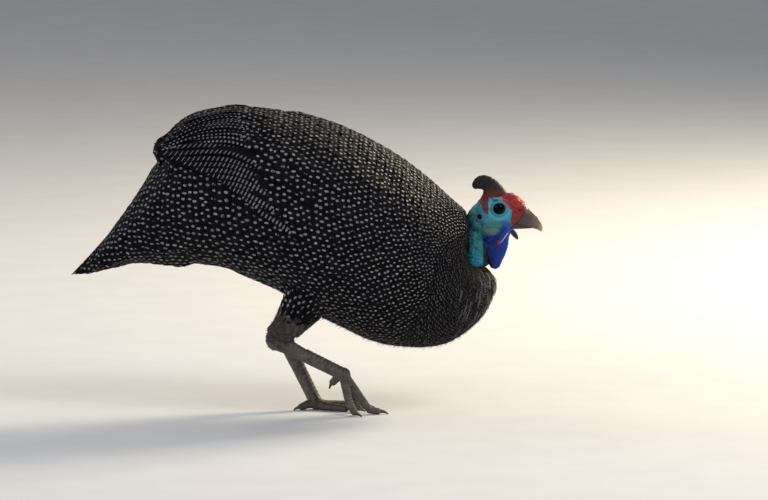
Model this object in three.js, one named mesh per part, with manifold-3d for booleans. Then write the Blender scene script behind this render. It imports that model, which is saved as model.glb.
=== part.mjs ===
// Helmeted guinea fowl, life size, caught in a low running step with its head drawn in.
// Millimetres. +X points forward along the bird, +Y to its left and +Z up.
// The origin is on the ground, under the middle of the bird's length.
import * as THREE from "three";
import { mergeVertices } from "three/addons/utils/BufferGeometryUtils.js";
import Module from "manifold-3d";

const wasm = await Module();
wasm.setup();

// The slit left between neighbouring pieces.
const GAP = 0.35;

// Plumage outline from the tail tip to the breast: x, back, underside, half width.
const BODY = [
  [-223.2, 130.2, 127.3, 6],
  [-205.2, 151.2, 128.2, 17],
  [-188.1, 172.3, 134.0, 25],
  [-169.1, 199.1, 140.2, 33],
  [-150.1, 229.7, 141.6, 43],
  [-135.8, 252.6, 138.8, 51],
  [-119.7, 273.7, 136.9, 58],
  [-102.6, 285.0, 140.7, 64],
  [-81.7, 290.5, 138.8, 71],
  [-59.8, 292.0, 129.2, 77],
  [-34.2, 290.9, 118.7, 82],
  [-7.6, 286.1, 103.4, 85],
  [16.1, 279.0, 88.0, 86.5],
  [39.9, 269.9, 77.5, 86],
  [63.6, 257.9, 66.0, 83],
  [87.4, 243.6, 62.2, 78],
  [108.3, 228.2, 61.2, 71],
  [125.4, 213.4, 63.2, 63],
  [139.7, 199.1, 68.4, 54],
  [148.2, 188.5, 74.6, 47],
  [152.9, 176.0, 78.5, 43],
  [155.8, 158.9, 80.9, 40],
  [159.6, 145.5, 84.2, 36],
  [166.2, 139.7, 91.9, 29],
  [172.9, 134.9, 103.4, 19],
  [177.2, 127.2, 113.9, 9],
];
const BODY_SQUARENESS = 2.15;
const BODY_RINGS = 27;
const BODY_SIDES = 24;

// Folded wing from its tip to the wrist: x, top of the back over it, lower edge, and how far up the
// section its upper edge climbs, in degrees.
const WING = [
  [-146.5, 257.0, 250.5, 74],
  [-140.6, 262.2, 247.5, 79],
  [-129.2, 273.2, 240.5, 82],
  [-116.8, 282.3, 233.0, 84],
  [-102.6, 288.1, 224.6, 85],
  [-78.8, 291.9, 208.3, 86],
  [-55.1, 292.6, 190.2, 86],
  [-26.6, 289.9, 169.1, 83],
  [1.9, 283.6, 150.0, 74],
  [35.1, 271.9, 140.4, 62],
  [63.6, 257.9, 148.1, 52],
  [84.5, 245.0, 166.2, 44],
  [95.0, 238.0, 184.4, 38],
];
const WING_SPREAD = 1.3; // how far the wing's outer face stands outside the plumage outline
const WING_BED = 5.0; // depth of the hollow in the flank where the wing lies
const WING_CORE = 5.2; // thickness of the wing under its feathers
const WING_CORE_FACE = -2.1; // its outer face, under the tips of the feathers

// Wing feathers in tiers, the lowest layer first. `tip` and `root` go from the tier's lowest vane to
// its highest, each as a distance along the bird and a share of the way up the wing.
const WING_TIERS = {
  secondaries: {
    freeTip: true,
    count: 6,
    tip: [[-30, 0.03], [-141, 0.4]],
    root: [[66, 0.1], [40, 0.46]],
    half: 11,
    layer: -0.3,
  },
  tertials: {
    freeTip: true,
    count: 4,
    tip: [[-143, 0.52], [-134, 0.93]],
    root: [[8, 0.5], [-18, 0.9]],
    half: 14,
    layer: 0.1,
  },
  greaterCoverts: {
    count: 5,
    tip: [[-3, 0.05], [-70, 0.62]],
    root: [[66, 0.12], [18, 0.6]],
    half: 12,
    layer: 0.8,
  },
  scapulars: {
    count: 3,
    tip: [[-66, 0.68], [-82, 0.95]],
    root: [[10, 0.66], [-14, 0.92]],
    half: 15,
    layer: 1.0,
  },
  medianCoverts: {
    count: 4,
    tip: [[30, 0.06], [-34, 0.66]],
    root: [[86, 0.2], [42, 0.64]],
    half: 13,
    layer: 1.5,
  },
};

// Where the tail feathers part from the body: a slanted plane through two points of the side view.
const RUMP = new THREE.Vector2(-153, 234);
const VENT = new THREE.Vector2(-100, 140);
const TAIL_CORE_INSET = 2.4;
const TAIL_CORE_TIP = -212;

// Tail feathers in tiers on each side: angles round the tail in degrees, 0 at the side and 90 on top,
// and the distance along the bird of their roots and of the lowest and highest tip.
const TAIL_TIERS = {
  rectrices: {
    freeTip: true,
    angles: [-8, 16, 38, 60, 82],
    root: -118,
    tips: [-204, -223],
    half: 8.5,
    layer: -0.6,
  },
  underTailCoverts: { angles: [-34, -72], root: -104, tips: [-186, -190], half: 9, layer: -0.3 },
  upperTailCoverts: { angles: [4, 34, 66], root: -112, tips: [-188, -197], half: 10, layer: 0.1 },
  ventCoverts: { angles: [-30, -66], root: -92, tips: [-150, -156], half: 12, layer: 0.5 },
  rumpFeathers: { angles: [0, 32, 64], root: -104, tips: [-160, -176], half: 13, layer: 0.9 },
};

const degrees = THREE.MathUtils.degToRad;
const { lerp, smoothstep, clamp } = THREE.MathUtils;
const vec = (x, y, z) => new THREE.Vector3(x, y, z);

// A smooth curve through [x, value] pairs that never overshoots them.
function curveThrough(pairs) {
  const n = pairs.length;
  const slope = pairs.slice(1).map((p, i) => (p[1] - pairs[i][1]) / (p[0] - pairs[i][0]));
  const tangent = pairs.map((p, i) => {
    if (i === 0) return slope[0];
    if (i === n - 1) return slope[n - 2];
    const product = slope[i - 1] * slope[i];
    return product <= 0 ? 0 : (2 * product) / (slope[i - 1] + slope[i]);
  });
  return (x) => {
    const at = clamp(x, pairs[0][0], pairs[n - 1][0]);
    let i = 0;
    while (i < n - 2 && at > pairs[i + 1][0]) i += 1;
    const span = pairs[i + 1][0] - pairs[i][0];
    const t = (at - pairs[i][0]) / span;
    const rise = pairs[i + 1][1] - pairs[i][1];
    const a = span * tangent[i] - rise;
    const b = rise - span * tangent[i + 1];
    return pairs[i][1] + rise * t + t * (1 - t) * (a * (1 - t) + b * t);
  };
}

const column = (table, k) => curveThrough(table.map((row) => [row[0], row[k]]));

// A closed surface from rings of points, with a fan over each end.
function loft(rings, startPoint, endPoint) {
  const sides = rings[0].length;
  const points = [...rings.flat(), startPoint, endPoint];
  const index = [];
  for (let i = 0; i + 1 < rings.length; i += 1) {
    for (let j = 0; j < sides; j += 1) {
      const a = i * sides + j;
      const b = i * sides + ((j + 1) % sides);
      index.push(a, b, a + sides, b, b + sides, a + sides);
    }
  }
  const start = rings.length * sides;
  const last = start - sides;
  for (let j = 0; j < sides; j += 1) {
    const next = (j + 1) % sides;
    index.push(start, next, j);
    index.push(start + 1, last + j, last + next);
  }
  const geometry = new THREE.BufferGeometry().setFromPoints(points);
  geometry.setIndex(index);
  return geometry;
}

// The geometry as a manifold-3d solid with its faces pointing out.
function solidOf(geometry) {
  const bare = geometry.clone();
  bare.deleteAttribute("normal");
  bare.deleteAttribute("uv");
  const merged = mergeVertices(bare, 1e-4);
  const vertProperties = merged.attributes.position.array;
  const triVerts = new Uint32Array(merged.index.array);
  const corner = (k) => vec().fromArray(vertProperties, triVerts[k] * 3);
  let volume = 0;
  for (let i = 0; i < triVerts.length; i += 3) {
    volume += corner(i).dot(corner(i + 1).cross(corner(i + 2)));
  }
  if (volume < 0) triVerts.reverse();
  return new wasm.Manifold(new wasm.Mesh({ numProp: 3, vertProperties, triVerts }));
}

// The largest closed piece of a solid.
function largest(solid) {
  const pieces = solid.decompose();
  return pieces.reduce((a, b) => (b.volume() > a.volume() ? b : a));
}

function geometryOf(solid) {
  const { vertProperties, triVerts } = solid.getMesh();
  const geometry = new THREE.BufferGeometry();
  geometry.setAttribute("position", new THREE.BufferAttribute(vertProperties, 3));
  geometry.setIndex(new THREE.BufferAttribute(triVerts, 1));
  return geometry;
}

const unite = (solids) => solids.reduce((a, b) => a.add(b));
const cutBy = (solid, ...tools) => tools.reduce((a, b) => a.subtract(b), solid);

// Rounded box curve: cos or sin of an angle, pushed outwards by the squareness.
const rounded = (value, squareness) => Math.sign(value) * Math.abs(value) ** (2 / squareness);

// A tall thin form drawn in side view: each rib has a front or upper point, a rear or lower point
// and a half thickness. `grow` swells it all round.
function ribbed(ribs, { sides = 16, steps = 3, squareness = 2, middle = 0, grow = 0 } = {}) {
  const asCurve = (pick) => new THREE.CatmullRomCurve3(ribs.map(pick), false, "centripetal");
  const fronts = asCurve((r) => vec(r[0][0], middle, r[0][1]));
  const rears = asCurve((r) => vec(r[1][0], middle, r[1][1]));
  const thick = curveThrough(ribs.map((r, i) => [i, r[2]]));
  const count = (ribs.length - 1) * steps;
  const rings = [];
  for (let i = 0; i <= count; i += 1) {
    const t = i / count;
    const front = fronts.getPoint(t);
    const rear = rears.getPoint(t);
    const half = front.clone().sub(rear).multiplyScalar(0.5);
    const centre = rear.clone().add(half);
    half.setLength(half.length() + grow);
    const width = thick(t * (ribs.length - 1)) + grow;
    const ring = [];
    for (let j = 0; j < sides; j += 1) {
      const angle = (2 * Math.PI * j) / sides;
      ring.push(
        centre
          .clone()
          .addScaledVector(half, rounded(Math.cos(angle), squareness))
          .add(vec(0, width * rounded(Math.sin(angle), squareness), 0)),
      );
    }
    rings.push(ring);
  }
  const centreOf = (ring) => ring.reduce((sum, p) => sum.add(p), vec()).divideScalar(sides);
  return solidOf(loft(rings, centreOf(rings[0]), centreOf(rings.at(-1))));
}

// A round limb along a path. Each station is a centre, a half depth and a half width.
function limb(stations, { sides = 12, steps = 3, grow = 0 } = {}) {
  const path = new THREE.CatmullRomCurve3(stations.map((s) => vec(...s[0])), false, "centripetal");
  const depth = curveThrough(stations.map((s, i) => [i, s[1]]));
  const width = curveThrough(stations.map((s, i) => [i, s[2]]));
  const count = (stations.length - 1) * steps;
  const rings = [];
  for (let i = 0; i <= count; i += 1) {
    const t = i / count;
    const along = path.getTangent(t);
    const end = t === 0 ? -1 : Number(t === 1);
    const centre = path.getPoint(t).addScaledVector(along, end * grow);
    const deep = vec(0, 1, 0).cross(along).normalize();
    const wide = along.clone().cross(deep).normalize();
    const ring = [];
    for (let j = 0; j < sides; j += 1) {
      const angle = (2 * Math.PI * (j + 0.5)) / sides;
      ring.push(
        centre
          .clone()
          .addScaledVector(deep, (depth(t * (stations.length - 1)) + grow) * Math.cos(angle))
          .addScaledVector(wide, (width(t * (stations.length - 1)) + grow) * Math.sin(angle)),
      );
    }
    rings.push(ring);
  }
  const centreOf = (ring) => ring.reduce((sum, p) => sum.add(p), vec()).divideScalar(sides);
  return solidOf(loft(rings, centreOf(rings[0]), centreOf(rings.at(-1))));
}

// A ball stretched to three half sizes.
function ball(centre, [rx, ry, rz], [across, down] = [12, 8]) {
  const geometry = new THREE.SphereGeometry(1, across, down);
  geometry.scale(rx, ry, rz);
  geometry.translate(...centre);
  return solidOf(geometry);
}

// A ring lying round an axis, such as an eyelid.
function hoop(centre, axis, radius, tube, rounds, flatten) {
  const geometry = new THREE.TorusGeometry(radius, tube, 4, rounds);
  geometry.scale(1, flatten, 1);
  geometry.applyQuaternion(
    new THREE.Quaternion().setFromUnitVectors(vec(0, 0, 1), vec(...axis).normalize()),
  );
  geometry.translate(...centre);
  return solidOf(geometry);
}

// Everything on one side of the slanted plane between the rump and the tail.
const REACH = 700;
function behindRump(shift) {
  const along = VENT.clone().sub(RUMP).normalize();
  const geometry = new THREE.BoxGeometry(REACH, REACH, REACH);
  geometry.translate(-REACH / 2, 0, 0);
  geometry.rotateY(Math.atan2(-along.x, -along.y));
  geometry.translate(RUMP.x + shift, 0, RUMP.y);
  return solidOf(geometry);
}

// The floor as a thick slab whose upper face is at a height.
function floorBelow(height) {
  const geometry = new THREE.BoxGeometry(REACH, REACH, REACH);
  geometry.translate(0, 0, height - REACH / 2);
  return solidOf(geometry);
}

// Everything on the bird's left of an upright plane along it.
function leftOf(y) {
  const geometry = new THREE.BoxGeometry(REACH, REACH, REACH);
  geometry.translate(0, y + REACH / 2, 0);
  return solidOf(geometry);
}

// Plumage of the body
const bodyTop = column(BODY, 1);
const bodyUnder = column(BODY, 2);
const bodyHalf = column(BODY, 3);
const wingTop = column(WING, 1);
const wingLow = column(WING, 2);
const wingHigh = column(WING, 3);
const WING_REAR = WING[0][0];
const WING_FRONT = WING.at(-1)[0];

// A point of a body section: the angle runs from the side, 0, up to the back, 90 degrees.
function sectionPoint(x, angle, top, under, half, outward) {
  const middle = (top + under) / 2;
  const y = rounded(Math.cos(angle), BODY_SQUARENESS);
  const z = rounded(Math.sin(angle), BODY_SQUARENESS);
  const height = (top - under) / 2;
  const normal = vec(0, y / half, z / height).normalize();
  return vec(x, y * half, middle + z * height).addScaledVector(normal, outward);
}

// How far up the folded wing a point of a section lies: 0 at its lower edge and 1 at its upper one.
function lowAngle(x) {
  const middle = (wingTop(x) + bodyUnder(x)) / 2;
  const height = (wingTop(x) - bodyUnder(x)) / 2;
  const share = clamp((wingLow(x) - middle) / height, -0.95, 0.95);
  return Math.asin(rounded(share, 4 / BODY_SQUARENESS));
}

function wingCover(x, angle) {
  if (Math.cos(angle) < 0) return wingCover(x, Math.PI - angle);
  if (x < WING_REAR || x > WING_FRONT) return 0;
  const low = lowAngle(x);
  const up = (angle - low) / (degrees(wingHigh(x)) - low);
  const overTheBack = x < -30 ? 1 : smoothstep(1 - up, -0.12, 0.1);
  return smoothstep(up, -0.04, 0.12) * overTheBack * smoothstep(WING_FRONT - x, 0, 22);
}

// The torso and the core of the tail as one loft.
function bodyLoft(grow) {
  const first = BODY[0][0];
  const last = BODY.at(-1)[0];
  const rings = [];
  for (let i = 0; i <= BODY_RINGS; i += 1) {
    const t = i / BODY_RINGS;
    const eased = t + 0.085 * Math.sin(2 * Math.PI * t) * (t < 0.5 ? 0 : -1);
    const x = lerp(first, last, eased);
    const ring = [];
    for (let j = 0; j < BODY_SIDES; j += 1) {
      const angle = (2 * Math.PI * j) / BODY_SIDES - Math.PI / 2;
      const outward = grow - WING_BED * wingCover(x, angle);
      ring.push(sectionPoint(x, angle, bodyTop(x), bodyUnder(x), bodyHalf(x), outward));
    }
    rings.push(ring);
  }
  const start = vec(first - 2 - grow, 0, (BODY[0][1] + BODY[0][2]) / 2);
  const end = vec(last + 2 + grow, 0, (BODY.at(-1)[1] + BODY.at(-1)[2]) / 2);
  return solidOf(loft(rings, start, end));
}

// Feathers
const VANE_STATIONS = [0, 0.2, 0.45, 0.75, 0.93];
const VANE_TILT = 3.2; // how far a vane's covered edge sinks below its exposed one
const VANE_UNDERSIDE = -2.9; // height of its underside, sunk in what carries it

// How a surface stretches at a place: `at` gives its points from two coordinates and a height.
function surfaceStep(at, [a, b], [da, db], across) {
  const here = at(a, b, 0);
  const alongA = at(a + 1, b, 0).sub(here);
  const alongB = at(a, b + across, 0).sub(here).divideScalar(across);
  const line = alongA.clone().multiplyScalar(da).addScaledVector(alongB, db).normalize();
  const sideways = alongA.clone().cross(alongB).normalize().cross(line);
  if (sideways.dot(alongB) < 0) sideways.negate();
  const aa = alongA.dot(alongA);
  const ab = alongA.dot(alongB);
  const bb = alongB.dot(alongB);
  const det = aa * bb - ab * ab;
  const sa = sideways.dot(alongA);
  const sb = sideways.dot(alongB);
  return [(bb * sa - ab * sb) / det, (aa * sb - ab * sa) / det];
}

// A feather's vane lying on a surface, tapering from a sunk root to a rounded tip. Its lower edge
// lies proud and its upper edge slips under the next vane.
function vane(at, root, tip, { half, layer, across, freeTip = false }) {
  const heading = [tip[0] - root[0], tip[1] - root[1]];
  const point = (t, w, lift) => {
    const place = [root[0] + heading[0] * t, root[1] + heading[1] * t];
    const [da, db] = surfaceStep(at, place, heading, across);
    return at(place[0] + da * w, place[1] + db * w, lift);
  };
  const rings = VANE_STATIONS.map((t) => {
    const swell = Math.min(1, 0.6 + 1.2 * t);
    const round = Math.sqrt(1 - smoothstep(t, 0.62, 1.04) ** 2);
    const width = half * swell * round;
    const top = lerp(VANE_UNDERSIDE, layer, smoothstep(t, 0, 0.42));
    const under = lerp(VANE_UNDERSIDE, top - 1.1, freeTip ? smoothstep(t, 0.5, 0.95) : 0);
    return [
      point(t, -width, top),
      point(t, width, Math.min(top, under + 1.5) - VANE_TILT),
      point(t, -0.85 * width, Math.min(under, top - 0.5)),
    ];
  });
  const start = point(0, 0, VANE_UNDERSIDE - 1);
  const end = point(1, 0, layer - 0.5 * VANE_TILT);
  return solidOf(loft(rings, start, end));
}

// Folded wing
// A point over the wing: u is the distance along the bird and v runs from the lower edge, 0, to the upper, 1.
function wingPoint(u, v, outward) {
  const angle = lerp(lowAngle(u), degrees(wingHigh(u)), v);
  const half = bodyHalf(u) + WING_SPREAD;
  return sectionPoint(u, angle, wingTop(u), bodyUnder(u), half, outward);
}

// The plain body of the wing, thinning to an edge all round.
function wingCore() {
  const across = 5;
  const along = 12;
  const grid = (face) => {
    const rows = [];
    for (let i = 0; i <= along; i += 1) {
      const t = i / along;
      const u = lerp(WING_REAR, WING_FRONT, t);
      rows.push(
        Array.from({ length: across + 1 }, (_, j) => {
          const v = j / across;
          const edge = Math.min(1, 5 * v, 6 * (1 - v), 12 * (1 - t), 12 * t + 0.3);
          return wingPoint(u, v, WING_CORE_FACE - (face ? 0 : 0.6 + WING_CORE * edge));
        }),
      );
    }
    return rows;
  };
  const outer = grid(true);
  const inner = grid(false);
  const points = [...outer.flat(), ...inner.flat()];
  const size = outer.flat().length;
  const at = (i, j) => i * (across + 1) + j;
  const index = [];
  const quad = (a, b, c, d) => index.push(a, b, c, a, c, d);
  for (let i = 0; i < along; i += 1) {
    for (let j = 0; j < across; j += 1) {
      quad(at(i, j), at(i + 1, j), at(i + 1, j + 1), at(i, j + 1));
      quad(
        size + at(i, j),
        size + at(i, j + 1),
        size + at(i + 1, j + 1),
        size + at(i + 1, j),
      );
    }
    quad(at(i + 1, 0), at(i, 0), size + at(i, 0), size + at(i + 1, 0));
    quad(at(i, across), at(i + 1, across), size + at(i + 1, across), size + at(i, across));
  }
  for (let j = 0; j < across; j += 1) {
    quad(at(0, j), at(0, j + 1), size + at(0, j + 1), size + at(0, j));
    quad(
      at(along, j + 1),
      at(along, j),
      size + at(along, j),
      size + at(along, j + 1),
    );
  }
  const geometry = new THREE.BufferGeometry().setFromPoints(points);
  geometry.setIndex(index);
  return solidOf(geometry);
}

// The wing's vanes, tier over tier.
function wingVanes() {
  const spread = ([low, high], share) => low.map((value, k) => lerp(value, high[k], share));
  return Object.values(WING_TIERS).flatMap(({ count, tip, root, ...shape }) =>
    Array.from({ length: count }, (_, i) => {
      const share = i / (count - 1);
      return vane(wingPoint, spread(root, share), spread(tip, share), { ...shape, across: 0.02 });
    }),
  );
}

// Tail
// A point over the tail: x along the bird, the angle round it in degrees and the height over the plumage.
function tailPoint(x, angle, outward) {
  return sectionPoint(x, degrees(angle), bodyTop(x), bodyUnder(x), bodyHalf(x), outward);
}

function tailCore() {
  const ringCount = 7;
  const sides = 14;
  const rings = Array.from({ length: ringCount }, (_, i) => {
    const t = i / (ringCount - 1);
    const x = lerp(TAIL_CORE_TIP, -92, t);
    const inset = -TAIL_CORE_INSET * lerp(1.2, 1, t);
    return Array.from({ length: sides }, (__, j) => tailPoint(x, (360 * j) / sides - 90, inset));
  });
  const centre = (x) => vec(x, 0, (bodyTop(x) + bodyUnder(x)) / 2);
  return solidOf(loft(rings, centre(TAIL_CORE_TIP - 2), centre(-90)));
}

// One side's vanes, the lowest of each tier first.
function tailVanes() {
  return Object.values(TAIL_TIERS).flatMap(({ angles, root, tips, ...shape }) =>
    angles.map((angle, i) => {
      const tip = lerp(...tips, i / (angles.length - 1));
      return vane(tailPoint, [root, angle], [tip, angle], { ...shape, across: 2 });
    }),
  );
}

// Head, casque and bill. Stations of the head: x, crown, jaw, half width.
const HEAD = [
  [151.5, 187.6, 179.0, 3.0],
  [153.9, 192.4, 173.2, 8.0],
  [157.7, 196.7, 169.4, 11.4],
  [162.4, 200.5, 167.0, 13.2],
  [168.2, 203.8, 166.5, 14.3],
  [174.8, 205.9, 166.5, 14.7],
  [181.4, 206.9, 168.0, 14.2],
  [187.1, 207.4, 171.3, 12.6],
  [192.8, 207.7, 175.1, 10.6],
  [197.6, 206.2, 178.5, 9.2],
  [202.3, 202.4, 183.3, 8.0],
  [205.7, 198.1, 188.5, 5.6],
];
// Casque ribs from its base to the hooked tip: front point, rear point, half thickness.
const CASQUE = [
  [[192.4, 201.0], [161.0, 196.0], 8.6],
  [[189.6, 208.4], [163.4, 202.6], 7.6],
  [[184.3, 215.3], [166.1, 208.1], 6.2],
  [[179.5, 220.1], [166.6, 210.9], 5.2],
  [[173.8, 223.9], [164.8, 212.1], 4.7],
  [[168.2, 225.7], [162.0, 212.5], 4.4],
  [[162.4, 225.1], [159.1, 212.3], 4.0],
  [[158.2, 222.0], [157.0, 213.0], 3.3],
  [[156.1, 218.2], [156.1, 214.8], 1.6],
];
const UPPER_BILL = [
  [[191.9, 199.1], [190.9, 178.8], 6.6],
  [[199.5, 199.1], [196.6, 178.0], 7.0],
  [[207.1, 195.4], [202.8, 176.9], 6.2],
  [[212.8, 191.6], [209.0, 175.8], 5.0],
  [[217.5, 186.8], [214.2, 174.7], 3.7],
  [[221.3, 180.6], [218.5, 173.5], 2.4],
  [[223.3, 174.9], [221.5, 171.4], 1.2],
];
const LOWER_BILL = [
  [[189.9, 178.4], [188.6, 171.2], 6.4],
  [[197.6, 177.5], [196.4, 171.6], 5.6],
  [[204.2, 176.4], [203.3, 171.8], 4.2],
  [[209.9, 175.3], [209.4, 172.2], 2.8],
  [[214.2, 174.0], [213.9, 172.5], 1.3],
];
const NECK = [
  [[176.7, 182.8], [155.4, 188.4], 9.8],
  [[171.0, 172.3], [151.4, 179.9], 9.4],
  [[167.2, 163.6], [150.2, 168.4], 8.8],
  [[165.8, 156.0], [150.6, 157.9], 8.4],
  [[164.8, 149.3], [150.1, 149.2], 8.6],
  [[166.2, 141.6], [148.4, 140.6], 9.8],
  [[171.0, 128.2], [145.3, 126.2], 11.5],
];
const THROAT_FOLD = [
  [[193.8, 177.0], [160.4, 176.1], 4.6],
  [[193.3, 172.3], [161.9, 169.4], 4.0],
  [[190.9, 165.6], [164.3, 162.7], 3.2],
  [[190.0, 157.9], [167.2, 155.0], 2.7],
  [[188.1, 150.7], [169.6, 148.3], 2.4],
  [[185.2, 145.0], [172.2, 143.1], 2.0],
  [[181.9, 140.2], [175.3, 139.1], 1.3],
];
const EYE_AT = [181.4, 195.3]; // x and z
const EYE_RADIUS = 7.0;
const EYE_SET = 10.0; // eye centre from the midline
const EAR_AT = [162.4, 187.1];
const NOSTRIL_AT = [201.0, 193.3];

// The head stations as ribs, crown point first.
const headRibs = HEAD.map(([x, crown, jaw, half]) => [[x, crown], [x, jaw], half]);
const headLoft = (grow) => ribbed(headRibs, { sides: 18, steps: 1, squareness: 2.3, grow });
const neckLoft = (grow) => ribbed(NECK, { sides: 14, steps: 2, grow });
const foldLoft = (grow) => ribbed(THROAT_FOLD, { sides: 12, steps: 1, squareness: 1.8, grow });

const BOTH_SIDES = [1, -1];

// Brow folds, cheek swellings, lids, ear rims and the warty knob over the bill.
function headSolid(tools) {
  const added = [];
  const removed = [];
  for (const side of BOTH_SIDES) {
    added.push(hoop([EYE_AT[0], side * 14.1, EYE_AT[1]], [0.1, side, 0.06], 6.5, 1.45, 14, 0.94));
    added.push(hoop([EAR_AT[0], side * 12.9, EAR_AT[1]], [-0.2, side, 0.1], 2.7, 1.0, 9, 1.1));
    added.push(
      limb(
        [
          [[176.0, side * 10.6, 205.2], 0.9, 0.9],
          [[182.0, side * 11.8, 204.0], 1.9, 1.6],
          [[189.0, side * 10.6, 200.4], 2.1, 1.7],
          [[195.0, side * 8.4, 196.6], 1.0, 1.0],
        ],
        { sides: 6, steps: 1 },
      ),
    );
    added.push(ball([173.0, side * 9.6, 173.2], [9.5, 4.6, 5.2], [10, 6]));
    removed.push(ball([EAR_AT[0] + 0.2, side * 14.0, EAR_AT[1]], [2.0, 3.0, 2.3], [8, 5]));
    removed.push(ball([NOSTRIL_AT[0], side * 8.2, NOSTRIL_AT[1]], [2.5, 2.0, 1.3], [8, 5]));
  }
  const warts = 6;
  for (let i = 0; i < warts; i += 1) {
    const t = i / (warts - 1);
    const side = i % 2 ? 1 : -1;
    const x = lerp(191, 204, t);
    const reach = 2.2 + 2.2 * Math.abs(Math.sin(2.4 * i));
    added.push(ball([x, side * reach, lerp(206.3, 198.2, t * t)], [2.6, 2.1, 2.0], [7, 4]));
  }
  const whole = cutBy(unite([headLoft(0), ...added]), ...removed, ...tools);
  return largest(whole);
}

// A wattle hanging from the corner of the mouth: side, length, lean and how far it swings out.
function wattle(side, tip, bulge) {
  const root = vec(190.5, side * 9.4, 176.4);
  const end = vec(...tip);
  const along = end.clone().sub(root);
  const stations = [0, 0.3, 0.62, 0.86, 1].map((t) => {
    const centre = root.clone().addScaledVector(along, t);
    centre.y += side * bulge * Math.sin(Math.PI * t);
    const span = [3.4, 5.2, 5.4, 3.8, 1.2][Math.round(t * 4)];
    return [centre.toArray(), span, lerp(1.7, 0.9, t)];
  });
  return limb(stations, { sides: 10, steps: 2 });
}

// Legs and feet. Joints of each leg: ankle, then the ball of the foot.
const LEGS = {
  right: {
    side: -1,
    hip: [4, -40, 128],
    mid: [-12.5, -37, 97],
    shin: [-22.5, -34, 83],
    ankle: [-30.4, -32, 70.9],
    ball: [33.7, -27, 38.3],
  },
  left: {
    side: 1,
    hip: [14, 38, 122],
    mid: [-3.5, 35, 92],
    shin: [-14.0, 32, 78],
    ankle: [-23.3, 27, 66.2],
    ball: [7.6, 7, 6.4],
  },
};
const ANKLE = [9.2, 7.0, 9.4]; // half sizes of the ankle knob
const PAD = [6.9, 6.4, 6.9]; // half sizes of the ball of the foot
const SHANK = [6.4, 4.6]; // half depth and half width of the bare shank

// Each toe as centres from the ball of the foot to the claw's root, then the claw's tip.
const TOES = {
  left: {
    middle: [[7.6, 7, 6.4], [21, 7.6, 3.6], [35, 8.6, 3.3], [47, 9.2, 2.9], [56, 9.4, 2.5]],
    inner: [[7.6, 7, 6.4], [17, 1.2, 3.6], [27, -4.4, 3.1], [37, -8.8, 2.5]],
    outer: [[7.6, 7, 6.4], [16, 14, 3.6], [25, 21, 3.1], [34.5, 26.8, 2.5]],
    hallux: [[7.6, 7, 6.4], [-1.0, 4.0, 5.2], [-8.0, 1.6, 2.5]],
  },
  right: {
    middle: [[33.7, -27, 38.3], [44, -26.6, 24], [52.4, -26.4, 12.0], [58.6, -26.3, 4.2], [68, -26.2, 2.5]],
    inner: [[33.7, -27, 38.3], [38, -20.6, 27], [42.4, -16.2, 14.6], [48.4, -12.2, 2.9]],
    outer: [[33.7, -27, 38.3], [36, -33.6, 26.6], [39, -38.8, 13.0], [45.0, -42.6, 2.8]],
    hallux: [[33.7, -27, 38.3], [27.4, -24.4, 34.4], [22.4, -22.6, 29.0]],
  },
};
const CLAWS = {
  left: {
    middle: [65.5, 9.6, 0.1],
    inner: [45.0, -12.0, 0.0],
    outer: [42.2, 31.4, 0.0],
    hallux: [-15.0, -0.6, 0.0],
  },
  right: {
    middle: [77.6, -26.0, 0.1],
    inner: [55.4, -9.0, 0.0],
    outer: [52.4, -46.2, 0.0],
    hallux: [19.6, -21.6, 22.6],
  },
};

function toe(points, grow = 0) {
  const n = points.length - 1;
  const stations = points.map((p, i) => [p, lerp(4.7, 3.2, i / n), lerp(4.4, 2.9, i / n)]);
  return limb(stations, { sides: 8, steps: 1, grow });
}

function claw(points, tip) {
  const root = vec(...points.at(-1));
  const end = vec(...tip);
  const along = end.clone().sub(root);
  const start = root.clone().addScaledVector(along.clone().normalize(), -1.5);
  const bow = vec(0, 0, 0.14 * along.length());
  const at = (t, lift) => start.clone().addScaledVector(along, t).addScaledVector(bow, lift).toArray();
  return limb(
    [
      [at(0, 0), 2.3, 2.2],
      [at(0.45, 0.8), 1.7, 1.5],
      [at(0.8, 0.6), 1.0, 0.9],
      [at(1, 0), 0.7, 0.6],
    ],
    { sides: 6, steps: 1 },
  );
}

function shank(leg) {
  const [deep, wide] = SHANK;
  const ankle = vec(...leg.ankle);
  const foot = vec(...leg.ball);
  const at = (t) => ankle.clone().lerp(foot, t).toArray();
  const bone = limb(
    [
      [at(0), 8.6, 6.0],
      [at(0.16), 7.2, 5.0],
      [at(0.5), deep, wide],
      [at(0.82), deep - 0.2, wide + 0.3],
      [at(1), deep, wide + 0.8],
    ],
    { sides: 10, steps: 1 },
  );
  const stub = limb([[leg.shin, 8.0, 6.4], [leg.ankle, 8.6, 6.6]], { sides: 10, steps: 1 });
  return unite([bone, stub, ball(leg.ankle, ANKLE, [10, 6])]);
}

// The feathered drumstick, from inside the flank down to just above the ankle.
function thigh(leg) {
  const end = vec(...leg.shin).lerp(vec(...leg.ankle), 0.45);
  return limb(
    [
      [leg.hip, 27, 20],
      [leg.mid, 16.5, 14],
      [leg.shin, 11.8, 10],
      [end.toArray(), 10.4, 8.6],
    ],
    { sides: 14, steps: 2 },
  );
}

// A slab that keeps the shank clear of the feathered drumstick above the ankle.
function aboveAnkle(leg, shift) {
  const end = vec(...leg.shin).lerp(vec(...leg.ankle), 0.45);
  const up = vec(...leg.shin).sub(vec(...leg.ankle)).normalize();
  const geometry = new THREE.BoxGeometry(60, 60, 60);
  geometry.translate(0, 0, 30);
  geometry.applyQuaternion(new THREE.Quaternion().setFromUnitVectors(vec(0, 0, 1), up));
  geometry.translate(...end.addScaledVector(up, shift).toArray());
  return solidOf(geometry);
}

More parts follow.
